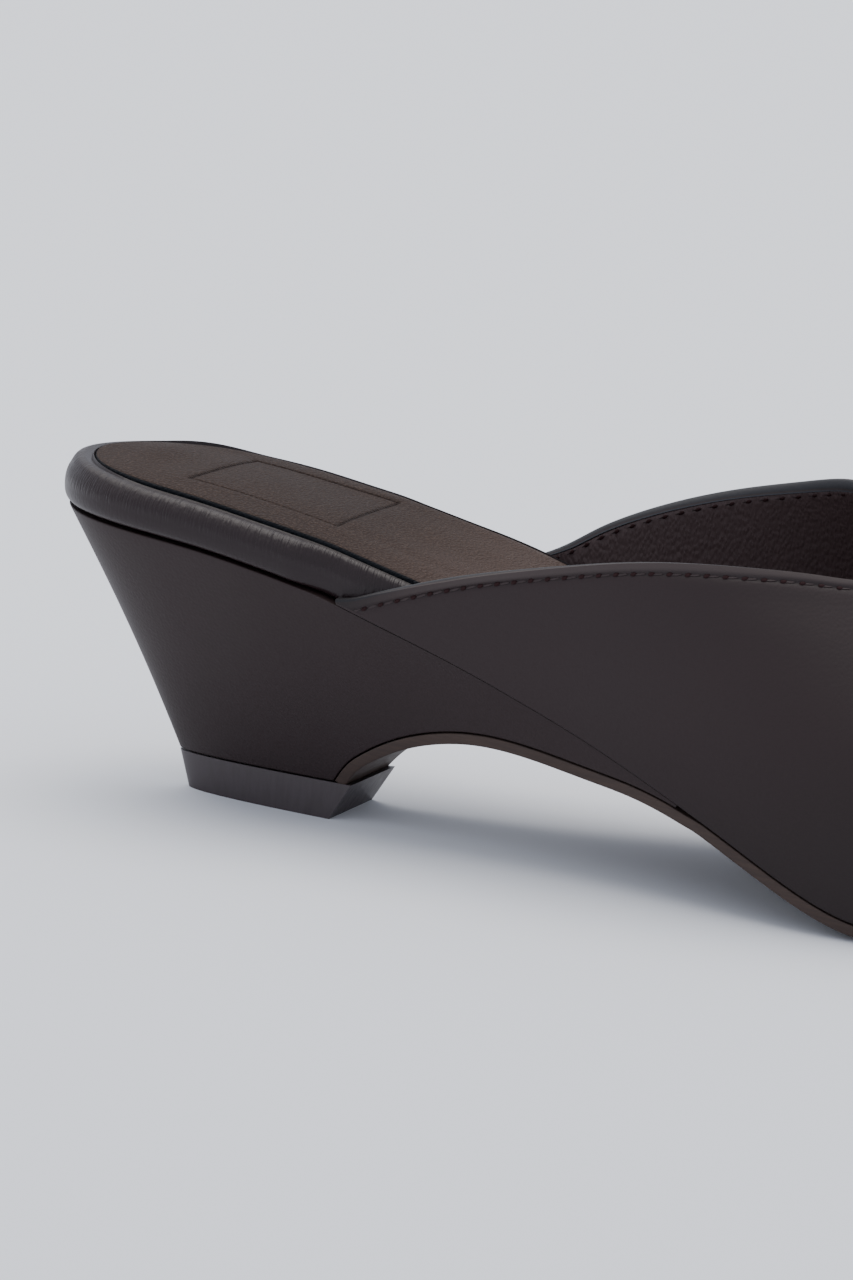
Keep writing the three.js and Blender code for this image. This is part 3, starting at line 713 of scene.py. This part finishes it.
def panel_relief(out):
    line = -PANEL["depth"] * bell(out, PANEL["line"])
    sink = -PANEL["sink"] * smooth(PANEL["sink_reach"], -PANEL["sink_reach"], out)
    puff = PANEL["puff"] * bell(out - PANEL["puff_from"], PANEL["puff_width"])
    return line + sink + puff


def sock():
    stations = rows_between(0, BOARD_END * LENGTH, SOCK_ROWS)
    for line in (PANEL["start"], PANEL["end"]):
        stations = crowded(stations, line, *PANEL_ROWS)
    outer = sock_edge(stations, -1, SOCK_THICKNESS)
    inner = sock_edge(stations, 1, SOCK_THICKNESS)
    share = np.linspace(0, 1, SOCK_COLUMNS)
    panel_share = PANEL["half"] / (SEAT_WIDTH / 2 - SOCK_INSET) / 2
    for line in (0.5 - panel_share, 0.5 + panel_share):
        share = crowded(share, line, *PANEL_COLUMNS)
    top = lerp(outer[:, None], inner[:, None], share[None, :, None])
    s, across = top[..., 0], top[..., 1]
    runs_out = smooth(PADDING_FROM, PADDING_TO, stations / LENGTH)
    dome = SOCK_DOME * past_back(stations) * (1 - runs_out)
    crown = dome[:, None] * 4 * share * (1 - share)
    out = panel_distance(s, across)
    edge = np.minimum(*(np.linalg.norm(top - rim[:, None], axis=-1) for rim in (outer, inner)))
    roll = -EDGE_ROLL * bell(edge, EDGE_ROLL_WIDTH)
    soft = np.zeros_like(s)
    for station, place, length, width, height in SOCK_HOLLOWS:
        soft += height * np.exp(-((s - station) / length) ** 2 - ((across - place) / width) ** 2)
    top[..., 2] += crown + panel_relief(out) + roll + soft * smooth(0, SOFT_TO_EDGE, edge)
    cut = [sock_edge(stations, side, SOCK_EDGE_HALF, -SOCK_EDGE_BULGE) for side in (1, -1)]
    foot = [sock_edge(stations, side, 0) for side in (1, -1)]
    under = np.stack([cut[0], foot[0], foot[1], cut[1]], 1)
    from_edge = np.concatenate([edge, np.full(under.shape[:2], UNDERSIDE)], 1)
    from_panel = np.concatenate([out, np.full(under.shape[:2], OFF_PANEL)], 1)
    values = {"from_edge": from_edge, "from_panel": from_panel}
    return ring_skin("sock_lining", np.concatenate([top, under], 1), values, sharp=60)


# Top lift, wedge and sole
LIFT_POINTS = 49  # along each side of the lift's edge
SEAT_ROWS = 70  # of the wedge, over the lift
ARCH_ROWS = 90  # of wedge and sole, over the arch
FRONT_ROWS = 110  # of the sole, ahead of the wedge
WEDGE_STEPS = 16  # down the wedge's side
ROUND_STEPS = 4
LIFT_BACK = TREAD_FRONT - LIFT_LENGTH
LIFT_TOP = LIFT_HEIGHT + FIT
LIFT_TOP_LENGTH = LIFT_LENGTH + LIFT_BACK_RAKE + LIFT_FRONT_RAKE
WEDGE_END = WEDGE_FRONT * LENGTH
BREAST = TREAD_FRONT + LIFT_FRONT_RAKE - BREAST_LEDGE - (SOLE_THICKNESS + FIT) * STEEP


def lift_edge(turn, rise, side):
    back = LIFT_BACK - LIFT_BACK_RAKE * rise
    front = TREAD_FRONT + LIFT_FRONT_RAKE * rise
    half = LIFT_WIDTH / 2 + LIFT_FLARE * rise
    height = np.full(np.shape(turn), LIFT_HEIGHT * rise)
    return np.stack([lerp(back, front, turn ** 2), side * half * turn, height], -1)


def soften(piece, width, segments, sharper_than=35):
    """Rounds the edges of a hard piece that turn by more than this many degrees."""
    bevel = piece.modifiers.new("edge", "BEVEL")
    bevel.width = width / 1000
    bevel.segments = segments
    bevel.limit_method = "ANGLE"
    bevel.angle_limit = math.radians(sharper_than)
    bevel.harden_normals = True


def top_lift():
    turn = np.linspace(0, 1, LIFT_POINTS)
    corners = [lift_edge(turn, rise, side) for rise, side in ((1, -1), (1, 1), (0, 1), (0, -1))]
    piece = ring_skin("top_lift_tip", np.stack(corners, 1))
    soften(piece, LIFT_ROUND, segments=3)
    return piece


def foot_turn(station):
    """Where a line down the wedge's side meets the lift, as a turn of the lift's edge."""
    share = station / BREAST
    whole = BREAST - LIFT_BACK + LIFT_BACK_RAKE
    start = max(LEAST_LEAN * BREAST, 2 * whole - BREAST)
    return np.sqrt((start * share + (whole - start) * share ** 2) / LIFT_TOP_LENGTH)


def arch_height(along, across):
    top = feather(lerp(BREAST, WEDGE_END, along), across) - FIT - WEDGE_TIP
    return lerp(LIFT_TOP, top, arch_rise(along))


def arch_point(along, side):
    station = lerp(BREAST, WEDGE_END, along)
    outer = plan_point(station, side, WEDGE_INSET)[1]
    inner = lift_edge(foot_turn(BREAST), 1, side)[1]
    across = lerp(inner, outer, arch_spread(along))
    return np.stack([station, across, arch_height(along, across)], -1)


def arch_rows(first):
    """Shares of the arch, from the breast to the wedge's end, closer together at the breast."""
    return (np.arange(first, ARCH_ROWS + 1) / ARCH_ROWS) ** ARCH_CROWDING


def wedge_side(station, side, foot):
    """Lines down the wedge's side, softly hollow, from under the rim to the foot."""
    top, across = plan_point(station, side, WEDGE_INSET)
    dip_top, dip_across = plan_point(station, side, WEDGE_INSET + WEDGE_HOLLOW)
    head = np.stack([top, across, feather(top, across) - FIT - WEDGE_DROP * (1 - tuck(top))], -1)
    depth = (head[:, 2] - foot[:, 2]) / SEAT_HEIGHT
    share = np.linspace(0, 1, WEDGE_STEPS + 1)
    dip = np.sin(math.pi * share)[None] * depth[:, None]
    points = lerp(head[:, None], foot[:, None], share[None, :, None])
    points[..., 0] += (dip_top - top)[:, None] * dip
    points[..., 1] += (dip_across - across)[:, None] * dip
    return points


def heel_wedge():
    seat = rows_between(0, BREAST, SEAT_ROWS)
    along = arch_rows(1)
    sides = {}
    for side in (-1, 1):
        foot = lift_edge(foot_turn(seat), 1, side)
        foot[:, 2] = LIFT_TOP
        back = wedge_side(seat, side, foot)
        front = wedge_side(lerp(BREAST, WEDGE_END, along), side, arch_point(along, side))
        sides[side] = np.concatenate([back, front], 0)
    rings = np.concatenate([sides[1], sides[-1][:, ::-1]], 1)
    under_rim = lerp(WEDGE_TOP_ROUND, WEDGE_TUCKED_ROUND, tuck(rings[:, 0, 0]))
    foot_round = {WEDGE_STEPS: WEDGE_FOOT_ROUND, WEDGE_STEPS + 1: WEDGE_FOOT_ROUND}
    corners = {0: under_rim, **foot_round, 2 * WEDGE_STEPS + 1: under_rim}
    return ring_skin("wedge_cover", rounded(rings, corners, ROUND_STEPS), sharp=50)


def sole_row(height_at, edge_at, stations, level):
    """Section of the sole laid against what is over it."""
    step = 0.05
    corners = []
    foot = FIT + SOLE_THICKNESS
    for side, depth, inset in ((-1, FIT, 0), (1, FIT, 0), (1, foot, EDGE_BEVEL), (-1, foot, EDGE_BEVEL)):
        s, across = edge_at(stations, side, inset)
        height = height_at(s, across)
        slope = (height_at(s + step, across) - height) / step
        length = np.hypot(1, slope)
        forward = np.where(level, length / np.abs(slope + TINY), slope / length)
        down = np.where(level, 0, 1 / length)
        corners.append(np.stack([s + forward * depth, across, height - down * depth], -1))
    return np.stack(corners, 1)


def outsole():
    def under_arch(s, across):
        return arch_height((s - BREAST) / (WEDGE_END - BREAST), across)

    def arch_edge(s, side, inset):
        return s, arch_point((s - BREAST) / (WEDGE_END - BREAST), side)[..., 1] - side * inset

    def under_upper(s, across):
        return feather(s, across) - (FIT + WEDGE_TIP) * (1 - smooth(WEDGE_END, WEDGE_END + RUN_OUT, s))

    def front_edge(s, side, inset):
        edge = lerp(WEDGE_INSET, SOLE_INSET, smooth(WEDGE_END, WEDGE_END + RUN_OUT, s))
        return plan_point(s, side, edge + inset)

    stations = lerp(BREAST, WEDGE_END, arch_rows(0))
    back = sole_row(under_arch, arch_edge, stations, np.arange(len(stations)) == 0)
    stations = rows_between(WEDGE_END, LENGTH, FRONT_ROWS)[1:]
    front = sole_row(under_upper, front_edge, stations, np.zeros(len(stations), bool))
    corners = {0: SOLE_TOP_ROUND, 1: SOLE_TOP_ROUND, 2: SOLE_FOOT_ROUND, 3: SOLE_FOOT_ROUND}
    rings = rounded(np.concatenate([back, front], 0), corners, ROUND_STEPS)
    return ring_skin("outsole_leather", rings, sharp=50)


# Stitching, laid along a path by Geometry Nodes
PATH_POINTS = 900  # of the curve that a row of stitches follows
FEEL = 0.5  # how far off a stitch the surface's outward direction is felt for
# Rows of stitches: side of the wall, distance below the topline, inset from the outside
STITCH_ROWS = {
    "outer": (1, STITCH_LINE, GROOVE_DEPTH - STITCH_RISE),
    "inner": (-1, INNER_STITCH_LINE, LINING_FACE),
}
# What a row is made of: length, width, height, slant, start as a share of the pitch
STITCH_SIZES = {
    "thread": (2.3, 0.5, 0.13, 0.1, 0),
    # Dark blobs in the needle holes, painting their shade.
    "hole_shades": (1.3, 0.78, 0.5, 0.3, 0.5),
}


def stitch_path(name, points, outward):
    mesh = bpy.data.meshes.new(name)
    edges = [(i, i + 1) for i in range(len(points) - 1)]
    mesh.from_pydata(in_row(points).tolist(), edges, [])
    layer = mesh.attributes.new("outward", "FLOAT_VECTOR", "POINT")
    layer.data.foreach_set("vector", outward.astype(np.float32).ravel())
    path = bpy.data.objects.new(name, mesh)
    bpy.context.scene.collection.objects.link(path)
    return path


def stitch_tree(name):
    """Short rounded stitches, one every pitch, lying on the surface and slightly turned."""
    tree = bpy.data.node_groups.new(name, "GeometryNodeTree")
    face = tree.interface
    face.new_socket("Path", in_out="INPUT", socket_type="NodeSocketGeometry")
    for size in ("Pitch", "Length", "Width", "Height", "Slant"):
        face.new_socket(size, in_out="INPUT", socket_type="NodeSocketFloat")
    face.new_socket("Thread", in_out="INPUT", socket_type="NodeSocketMaterial")
    face.new_socket("Stitches", in_out="OUTPUT", socket_type="NodeSocketGeometry")
    nodes = tree.nodes
    link = tree.links.new
    given = nodes.new("NodeGroupInput")
    result = nodes.new("NodeGroupOutput")
    to_curve = nodes.new("GeometryNodeMeshToCurve")
    spaced = nodes.new("GeometryNodeResampleCurve")
    spaced.mode = "LENGTH"
    tangent = nodes.new("GeometryNodeInputTangent")
    outward = nodes.new("GeometryNodeInputNamedAttribute")
    outward.data_type = "FLOAT_VECTOR"
    outward.inputs["Name"].default_value = "outward"
    lay = nodes.new("FunctionNodeAlignRotationToVector")
    lay.axis = "X"
    stand = nodes.new("FunctionNodeAlignRotationToVector")
    stand.axis = "Z"
    stand.pivot_axis = "X"
    slant = nodes.new("FunctionNodeRotateRotation")
    slant.rotation_space = "LOCAL"
    turn = nodes.new("ShaderNodeCombineXYZ")
    ball = nodes.new("GeometryNodeMeshUVSphere")
    ball.inputs["Segments"].default_value = 8
    ball.inputs["Rings"].default_value = 5
    ball.inputs["Radius"].default_value = 0.5
    size = nodes.new("ShaderNodeCombineXYZ")
    place = nodes.new("GeometryNodeInstanceOnPoints")
    real = nodes.new("GeometryNodeRealizeInstances")
    smooth_faces = nodes.new("GeometryNodeSetShadeSmooth")
    finish = nodes.new("GeometryNodeSetMaterial")
    link(given.outputs["Path"], to_curve.inputs["Mesh"])
    link(to_curve.outputs["Curve"], spaced.inputs["Curve"])
    link(given.outputs["Pitch"], spaced.inputs["Length"])
    link(tangent.outputs["Tangent"], lay.inputs["Vector"])
    link(lay.outputs["Rotation"], stand.inputs["Rotation"])
    link(outward.outputs["Attribute"], stand.inputs["Vector"])
    link(stand.outputs["Rotation"], slant.inputs["Rotation"])
    link(given.outputs["Slant"], turn.inputs["Z"])
    link(turn.outputs["Vector"], slant.inputs["Rotate By"])
    for key, axis in (("Length", "X"), ("Width", "Y"), ("Height", "Z")):
        link(given.outputs[key], size.inputs[axis])
    link(spaced.outputs["Curve"], place.inputs["Points"])
    link(ball.outputs["Mesh"], place.inputs["Instance"])
    link(slant.outputs["Rotation"], place.inputs["Rotation"])
    link(size.outputs["Vector"], place.inputs["Scale"])
    link(place.outputs["Instances"], real.inputs["Geometry"])
    link(real.outputs["Geometry"], smooth_faces.inputs["Geometry"])
    link(smooth_faces.outputs["Geometry"], finish.inputs["Geometry"])
    link(given.outputs["Thread"], finish.inputs["Material"])
    link(finish.outputs["Geometry"], result.inputs["Stitches"])
    return tree


def grown(path, tree, name, **sizes):
    """Runs a tree on a path and keeps what it makes as a plain mesh."""
    modifier = path.modifiers.new("grow", "NODES")
    modifier.node_group = tree
    sockets = {item.name: item.identifier for item in tree.interface.items_tree if item.in_out == "INPUT"}
    for key, value in sizes.items():
        modifier[sockets[key]] = value
    shape = path.evaluated_get(bpy.context.evaluated_depsgraph_get())
    mesh = bpy.data.meshes.new_from_object(shape)
    mesh.name = name
    piece = bpy.data.objects.new(name, mesh)
    bpy.context.scene.collection.objects.link(piece)
    bpy.data.objects.remove(path)
    return piece


def stitch_line(lines, side_of_wall, depth, inset):
    """Points along the topline just under it, with their outward directions."""
    turn, way = lines.at_distance(depth)
    here = upper_point(turn, way, inset)
    out = upper_point(turn, way, inset - FEEL * side_of_wall) - here
    ahead = np.gradient(here, axis=0)
    out -= ahead * (np.sum(out * ahead, -1) / np.sum(ahead * ahead, -1))[:, None]
    return here, out / np.linalg.norm(out, axis=-1)[:, None]


def stitching(lines):
    tree = stitch_tree("stitch row")
    finishes = {"thread": thread_finish(), "hole_shades": hole_shade_finish()}
    pieces = []
    for where, row in STITCH_ROWS.items():
        points, outward = stitch_line(lines, *row)
        run = lengths_along(points)
        for kind, (length, width, height, slant, start) in STITCH_SIZES.items():
            place = np.linspace(start * STITCH_PITCH, run[-1], PATH_POINTS)
            path = np.stack([np.interp(place, run, points[:, k]) for k in range(3)], -1)
            out = np.stack([np.interp(place, run, outward[:, k]) for k in range(3)], -1)
            sizes = {"Pitch": STITCH_PITCH, "Length": length, "Width": width, "Height": height}
            metres = {key: value / 1000 for key, value in sizes.items()}
            pieces.append(grown(
                stitch_path(f"{where}_{kind}_path", path, out), tree, f"{where}_{kind}",
                **metres, Slant=slant, Thread=finishes[kind],
            ))
    return pieces


# Materials, with their places in metres in the frame unless they follow a piece's own mark
def colour(text):
    """A colour written as on a screen, in linear light."""
    values = [int(text[i:i + 2], 16) / 255 for i in (1, 3, 5)]
    linear = [v / 12.92 if v <= 0.04045 else ((v + 0.055) / 1.055) ** 2.4 for v in values]
    return (*linear, 1.0)


# Sockets of a colour mix, whose names its other kinds have too
MIX_A, MIX_B, MIX_RESULT = 6, 7, 2


class Finish:
    """A material with its shader, and short ways to add nodes."""

    def __init__(self, name, specular):
        self.material = bpy.data.materials.new(name)
        self.material.use_nodes = True
        self.nodes = self.material.node_tree.nodes
        self.links = self.material.node_tree.links
        self.shader = self.nodes["Principled BSDF"]
        self.shader.inputs["Specular IOR Level"].default_value = specular
        self.place = self.add("ShaderNodeTexCoord").outputs["Object"]

    def add(self, kind, settings=None, **inputs):
        node = self.nodes.new(kind)
        for key, value in (settings or {}).items():
            setattr(node, key, value)
        for key, value in inputs.items():
            self.feed(node.inputs[key], value)
        return node

    def feed(self, socket, value):
        if isinstance(value, bpy.types.NodeSocket):
            self.links.new(value, socket)
        elif isinstance(value, str):
            socket.default_value = colour(value)
        else:
            socket.default_value = value

    def axis(self, name):
        return self.add("ShaderNodeSeparateXYZ", Vector=self.place).outputs[name]

    def stretched(self, x, y, z):
        return self.add("ShaderNodeMapping", Vector=self.place, Scale=(x, y, z)).outputs["Vector"]

    def noise(self, scale, detail, roughness=0.5, place=None):
        sizes = {"Scale": scale, "Detail": detail, "Roughness": roughness}
        return self.add("ShaderNodeTexNoise", Vector=place or self.place, **sizes).outputs["Fac"]

    def cells(self, scale, place=None):
        sizes = {"Scale": scale, "Smoothness": 0.6}
        node = self.add("ShaderNodeTexVoronoi", {"feature": "SMOOTH_F1"}, Vector=place or self.place, **sizes)
        return node.outputs["Distance"]

    def mark(self, name):
        return self.add("ShaderNodeAttribute", {"attribute_name": name}).outputs["Fac"]

    def math(self, operation, a, b=0.0):
        node = self.add("ShaderNodeMath", {"operation": operation})
        self.feed(node.inputs[0], a)
        self.feed(node.inputs[1], b)
        return node.outputs[0]

    def times(self, a, b):
        return self.math("MULTIPLY", a, b)

    def band(self, value, start, end, low=0.0, high=1.0):
        """Runs smoothly from low to high as value goes from start to end."""
        limits = {"From Min": start, "From Max": end, "To Min": low, "To Max": high}
        node = self.add("ShaderNodeMapRange", {"interpolation_type": "SMOOTHSTEP"}, Value=value, **limits)
        return node.outputs["Result"]

    def fade(self, value, start, end, full=1.0):
        """Runs smoothly from full to nothing as value goes from start to end."""
        return self.band(value, start, end, full, 0.0)

    def near(self, value, middle, full, end, low=0.0):
        """One as far as full from the middle value, then smoothly down to low at end."""
        away = self.math("ABSOLUTE", self.math("SUBTRACT", value, middle))
        return self.band(away, full, end, 1.0, low)

    def mix(self, share, a, b):
        node = self.add("ShaderNodeMix", {"data_type": "RGBA"}, Factor=share)
        self.feed(node.inputs[MIX_A], a)
        self.feed(node.inputs[MIX_B], b)
        return node.outputs[MIX_RESULT]

    def bump(self, height, strength, distance, normal=None):
        node = self.add("ShaderNodeBump", Height=height, Strength=strength, Distance=distance)
        if normal is not None:
            self.feed(node.inputs["Normal"], normal)
        return node.outputs["Normal"]

    def finish(self, base, roughness, normal=None):
        for key, value in (("Base Color", base), ("Roughness", roughness), ("Normal", normal)):
            if value is not None:
                self.feed(self.shader.inputs[key], value)
        return self.material


def smooth_leather(name, high_tone, low_tone, gloss):
    """Fine calf leather: faint pores, slow clouding of its colour, and its low tone near the floor, which
    paints the shade and floor light found there.
    """
    f = Finish(name, specular=0.3)
    clouds = f.noise(scale=14, detail=3)
    pores = f.cells(scale=1500)
    fine = f.noise(scale=2600, detail=3, roughness=0.6)
    # Painted shade near the floor: below about 46 mm the leather runs to its low tone.
    clear_of_floor_shade = f.band(f.axis("Z"), 0.008, 0.046, low=0.3)
    tone = f.times(clear_of_floor_shade, f.band(clouds, 0.3, 0.7, low=0.6))
    base = f.mix(tone, low_tone, high_tone)
    base = f.mix(f.fade(pores, 0.0, 0.35, full=0.25), base, "#1d1615")
    uneven = f.math("ADD", clouds, f.times(fine, 0.4))
    rough = f.band(uneven, 0.4, 0.9, low=gloss - 0.05, high=gloss + 0.07)
    grain = f.math("ADD", pores, f.times(fine, 0.35))
    return f, base, rough, f.bump(grain, strength=0.16, distance=0.0002)


def upper_finish():
    """Calf leather, with a painted highlight on its fold, a painted cool reflection on its crest and
    turned-in band, and painted shade at the toe, the back ends and in the groove.
    """
    f, base, rough, normal = smooth_leather("upper leather", "#2d2021", "#1d1314", gloss=0.55)
    below = f.mark("below_edge")
    along = f.axis("X")
    # Painted shade: darker towards the toe.
    toe = f.band(along, -0.03, 0.07, high=0.55)
    # Painted highlight on the folded topline, stronger towards the front.
    fold = f.times(f.fade(below, 1.3, 2.1), f.band(along, -0.066, -0.035, low=0.15, high=0.55))
    # Painted cool reflection: blue-grey on the topline's crest.
    top = f.fade(below, 0.3, 0.7, full=0.75)
    # Painted shade on the fold at the upper's back ends.
    back_end_shade = f.times(f.fade(below, 1.6, 2.6), f.fade(along, -0.066, -0.05, full=0.7))
    # Painted shade in the stitched groove.
    groove = f.near(below, STITCH_LINE, full=0.1, end=0.6)
    base = f.mix(toe, base, "#1c1413")
    base = f.mix(fold, base, "#4b4240")
    base = f.mix(top, base, "#24282e")
    base = f.mix(back_end_shade, base, "#120e0e")
    # Painted cool reflection: the leather turned in behind the fold, lighter and blue-grey.
    base = f.mix(f.mark("inside"), base, "#43464c")
    base = f.mix(f.times(groove, 0.45), base, "#1b1515")
    return f.finish(base, rough, normal)


def wedge_finish():
    """The same calf leather, nearly one tone all over."""
    # Here the low tone is a shade lighter, so light from the floor is painted in near it.
    f, base, rough, normal = smooth_leather("wedge leather", "#241717", "#281c1d", gloss=0.55)
    return f.finish(base, rough, normal)


def rim_finish():
    """Calf leather pulled round the rim, with small pleats on its shoulder."""
    f, base, rough, normal = smooth_leather("rim leather", "#23181a", "#1d1416", gloss=0.35)
    height = f.mark("rim_height")
    stretch = {"X": f.times(f.mark("along"), 2.2), "Y": f.times(height, 2.6)}
    round_rim = f.add("ShaderNodeCombineXYZ", **stretch).outputs["Vector"]
    pleats = f.noise(scale=1.0, detail=2, place=round_rim)
    shoulder = f.near(height, 0.76, full=0.1, end=0.36, low=0.12)
    normal = f.bump(f.times(pleats, shoulder), strength=0.75, distance=0.0005, normal=normal)
    return f.finish(base, rough, normal)


def lining_finish():
    """Fine lining leather, its grain drawn out upwards."""
    f = Finish("lining leather", specular=0.3)
    grain = f.cells(scale=1500, place=f.stretched(1.3, 1.3, 0.6))
    clouds = f.noise(scale=24, detail=3)
    base = f.mix(f.band(clouds, 0.3, 0.7), "#433535", "#4c3c3c")
    rough = f.band(clouds, 0.3, 0.7, low=0.56, high=0.64)
    raised = f.math("SUBTRACT", 1.0, grain)
    return f.finish(base, rough, f.bump(raised, strength=0.55, distance=0.0004))


def sock_finish():
    """Pebbled sock leather, darker between its pebbles from its grain and painted shade, with painted shade
    in the panel's line and painted light towards the front, its cut edge painted.
    """
    f = Finish("sock leather", specular=0.06)
    pebbles = f.cells(scale=1800)
    clouds = f.noise(scale=30, detail=4)
    # Darker between the pebbles: the grain's own colour and painted shade in its hollows.
    grain_and_shade_between_pebbles = f.band(pebbles, 0.15, 0.5, high=0.7)
    # Painted light: the sock lighter towards the front.
    ahead = f.band(f.axis("X"), -0.075, -0.03, high=0.5)
    # Painted shade in the pressed panel's line.
    panel_line_shade = f.near(f.mark("from_panel"), 0.0, full=0.15, end=0.6)
    paint = f.fade(f.mark("from_edge"), 0.2, 0.5)
    base = f.mix(f.band(clouds, 0.3, 0.7), "#433731", "#4e4039")
    base = f.mix(grain_and_shade_between_pebbles, base, "#2a2220")
    base = f.mix(ahead, base, "#5f4f48")
    base = f.mix(f.times(panel_line_shade, 0.65), base, "#1e1614")
    base = f.mix(paint, base, "#15171b")
    rough = f.band(clouds, 0.3, 0.7, low=0.6, high=0.7)
    raised = f.math("SUBTRACT", 1.0, pebbles)
    return f.finish(base, rough, f.bump(raised, strength=0.7, distance=0.0005))


def sole_finish():
    """Waxed leather edge, with faint lines along it."""
    f = Finish("sole leather", specular=0.22)
    layers = f.noise(scale=1.0, detail=4, roughness=0.6, place=f.stretched(120, 300, 2200))
    clouds = f.noise(scale=60, detail=3)
    base = f.mix(f.band(layers, 0.3, 0.7), "#3b302c", "#463933")
    base = f.mix(f.band(clouds, 0.45, 0.75, high=0.5), base, "#352b27")
    rough = f.band(layers, 0.3, 0.7, low=0.5, high=0.62)
    return f.finish(base, rough, f.bump(layers, strength=0.2, distance=0.0002))


def lift_finish():
    """Moulded plastic with fine upright scratches."""
    f = Finish("lift plastic", specular=0.5)
    scuffs = f.noise(scale=1.0, detail=5, roughness=0.65, place=f.stretched(900, 900, 160))
    base = f.mix(f.band(scuffs, 0.3, 0.7), "#332a2c", "#3b3235")
    rough = f.band(scuffs, 0.3, 0.75, low=0.36, high=0.5)
    return f.finish(base, rough, f.bump(scuffs, strength=0.08, distance=0.0001))


def thread_finish():
    f = Finish("stitch thread", specular=0.35)
    twist = f.noise(scale=3000, detail=2)
    base = f.mix(twist, "#2c2122", "#372b2b")
    return f.finish(base, 0.6, f.bump(twist, strength=0.3, distance=0.0002))


# Painted shade: the dark inside of a needle hole, as a small dark blob.
def hole_shade_finish():
    f = Finish("needle hole shade", specular=0.2)
    return f.finish(f.mix(f.noise(scale=2500, detail=2), "#1a0b0c", "#301719"), 0.8)


def floor_finish():
    """Pale paper, with painted shade making it a little darker towards the camera and its right."""
    f = Finish("pale floor", specular=0.1)
    paper = f.noise(scale=900, detail=3, roughness=0.6)
    # Painted shade: darker towards the camera and its right.
    nearness = f.math("SUBTRACT", f.times(f.axis("X"), 0.5), f.axis("Y"))
    base = f.mix(f.band(nearness, -0.3, 0.35), "#f1f3f8", "#e6e8ee")
    return f.finish(base, 0.9, f.bump(paper, strength=0.05, distance=0.0003))


# Camera where the photograph was taken from
FOCAL_PIXELS = 3718.887
FRAME_PIXELS = 1280  # height of the photograph
SENSOR = 36
YAW, PITCH, ROLL = 0.37990337, 0.17776304, 0.06277160  # radians
CAMERA_PLACE = (0.193348, -0.627190, 0.155712)  # metres in the frame


def camera():
    forward = Vector((-math.sin(YAW) * math.cos(PITCH), math.cos(YAW) * math.cos(PITCH), -math.sin(PITCH)))
    level = Vector((math.cos(YAW), math.sin(YAW), 0))
    upright = level.cross(forward)
    right = level * math.cos(ROLL) + upright * math.sin(ROLL)
    up = upright * math.cos(ROLL) - level * math.sin(ROLL)
    data = bpy.data.cameras.new("photo camera")
    data.sensor_width = SENSOR
    data.lens = FOCAL_PIXELS / FRAME_PIXELS * SENSOR
    data.clip_start = 0.01
    data.clip_end = 20
    view = bpy.data.objects.new("photo camera", data)
    turn = Matrix((right, up, -forward)).transposed().to_4x4()
    view.matrix_world = Matrix.Translation(CAMERA_PLACE) @ turn
    bpy.context.scene.collection.objects.link(view)
    bpy.context.scene.camera = view


# Floor and light
FLOOR_HALF_WIDTH = 30.0
# How the floor runs from in front of the shoe to far behind it: Y, height
FLOOR_LINE = [(-6.0, 0.0), (3.0, 0.0), (5.0, 0.04), (8.0, 0.2), (12.0, 0.5), (40.0, 3.5)]
ROOM_COLOUR = (0.91, 0.965, 1.08, 1)
ROOM_STRENGTH = 0.92
WINDOW_COLOUR = (1.0, 0.955, 0.89)
WINDOW_STRENGTH = 2.2
WINDOW_BREADTH = 55  # degrees
WINDOW_PLACE = (-0.3, 0.25, 1.5)


def floor():
    """Pale floor: flat under the shoe, rising gently far behind it."""
    points = [(x, y, z) for y, z in FLOOR_LINE for x in (-FLOOR_HALF_WIDTH, FLOOR_HALF_WIDTH)]
    faces = [(2 * i, 2 * i + 1, 2 * i + 3, 2 * i + 2) for i in range(len(FLOOR_LINE) - 1)]
    mesh = bpy.data.meshes.new("floor")
    mesh.from_pydata(points, [], faces)
    mesh.shade_smooth()
    mesh.materials.append(floor_finish())
    paper = bpy.data.objects.new("floor", mesh)
    bpy.context.scene.collection.objects.link(paper)


def studio():
    """Even light from all round, and a broad soft one from behind on the left."""
    world = bpy.data.worlds.new("studio")
    bpy.context.scene.world = world
    world.use_nodes = True
    room = world.node_tree.nodes["Background"]
    room.inputs["Color"].default_value = ROOM_COLOUR
    room.inputs["Strength"].default_value = ROOM_STRENGTH
    data = bpy.data.lights.new("window", "SUN")
    data.energy = WINDOW_STRENGTH
    data.angle = math.radians(WINDOW_BREADTH)
    data.color = WINDOW_COLOUR
    light = bpy.data.objects.new("window", data)
    light.location = WINDOW_PLACE
    light.rotation_mode = "QUATERNION"
    light.rotation_quaternion = (-Vector(WINDOW_PLACE)).to_track_quat("-Z", "Y")
    bpy.context.scene.collection.objects.link(light)


camera()
floor()
studio()

upper_lines = UpperLines(count=150)
leather = upper_leather(upper_lines)
lining = upper_lining(upper_lines)
rim = insole()
footbed = sock()
wedge = heel_wedge()
sole = outsole()
tip = top_lift()

FINISHES = [
    (leather, upper_finish(), "upper_leather"),
    (lining, lining_finish(), "upper_leather"),
    (rim, rim_finish(), "rim_leather"),
    (footbed, sock_finish(), "sock_leather"),
    (wedge, wedge_finish(), "upper_leather"),
    (sole, sole_finish(), "sole_leather"),
    (tip, lift_finish(), "lift_plastic"),
]
for piece, material, slot in FINISHES:
    piece.data.materials.append(material)
    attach(piece, "root")
for piece in stitching(upper_lines):
    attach(piece, "root")

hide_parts("upper")
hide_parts("insole")
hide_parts("sock")
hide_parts("heel_wedge")
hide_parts("outsole")
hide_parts("top_lift")
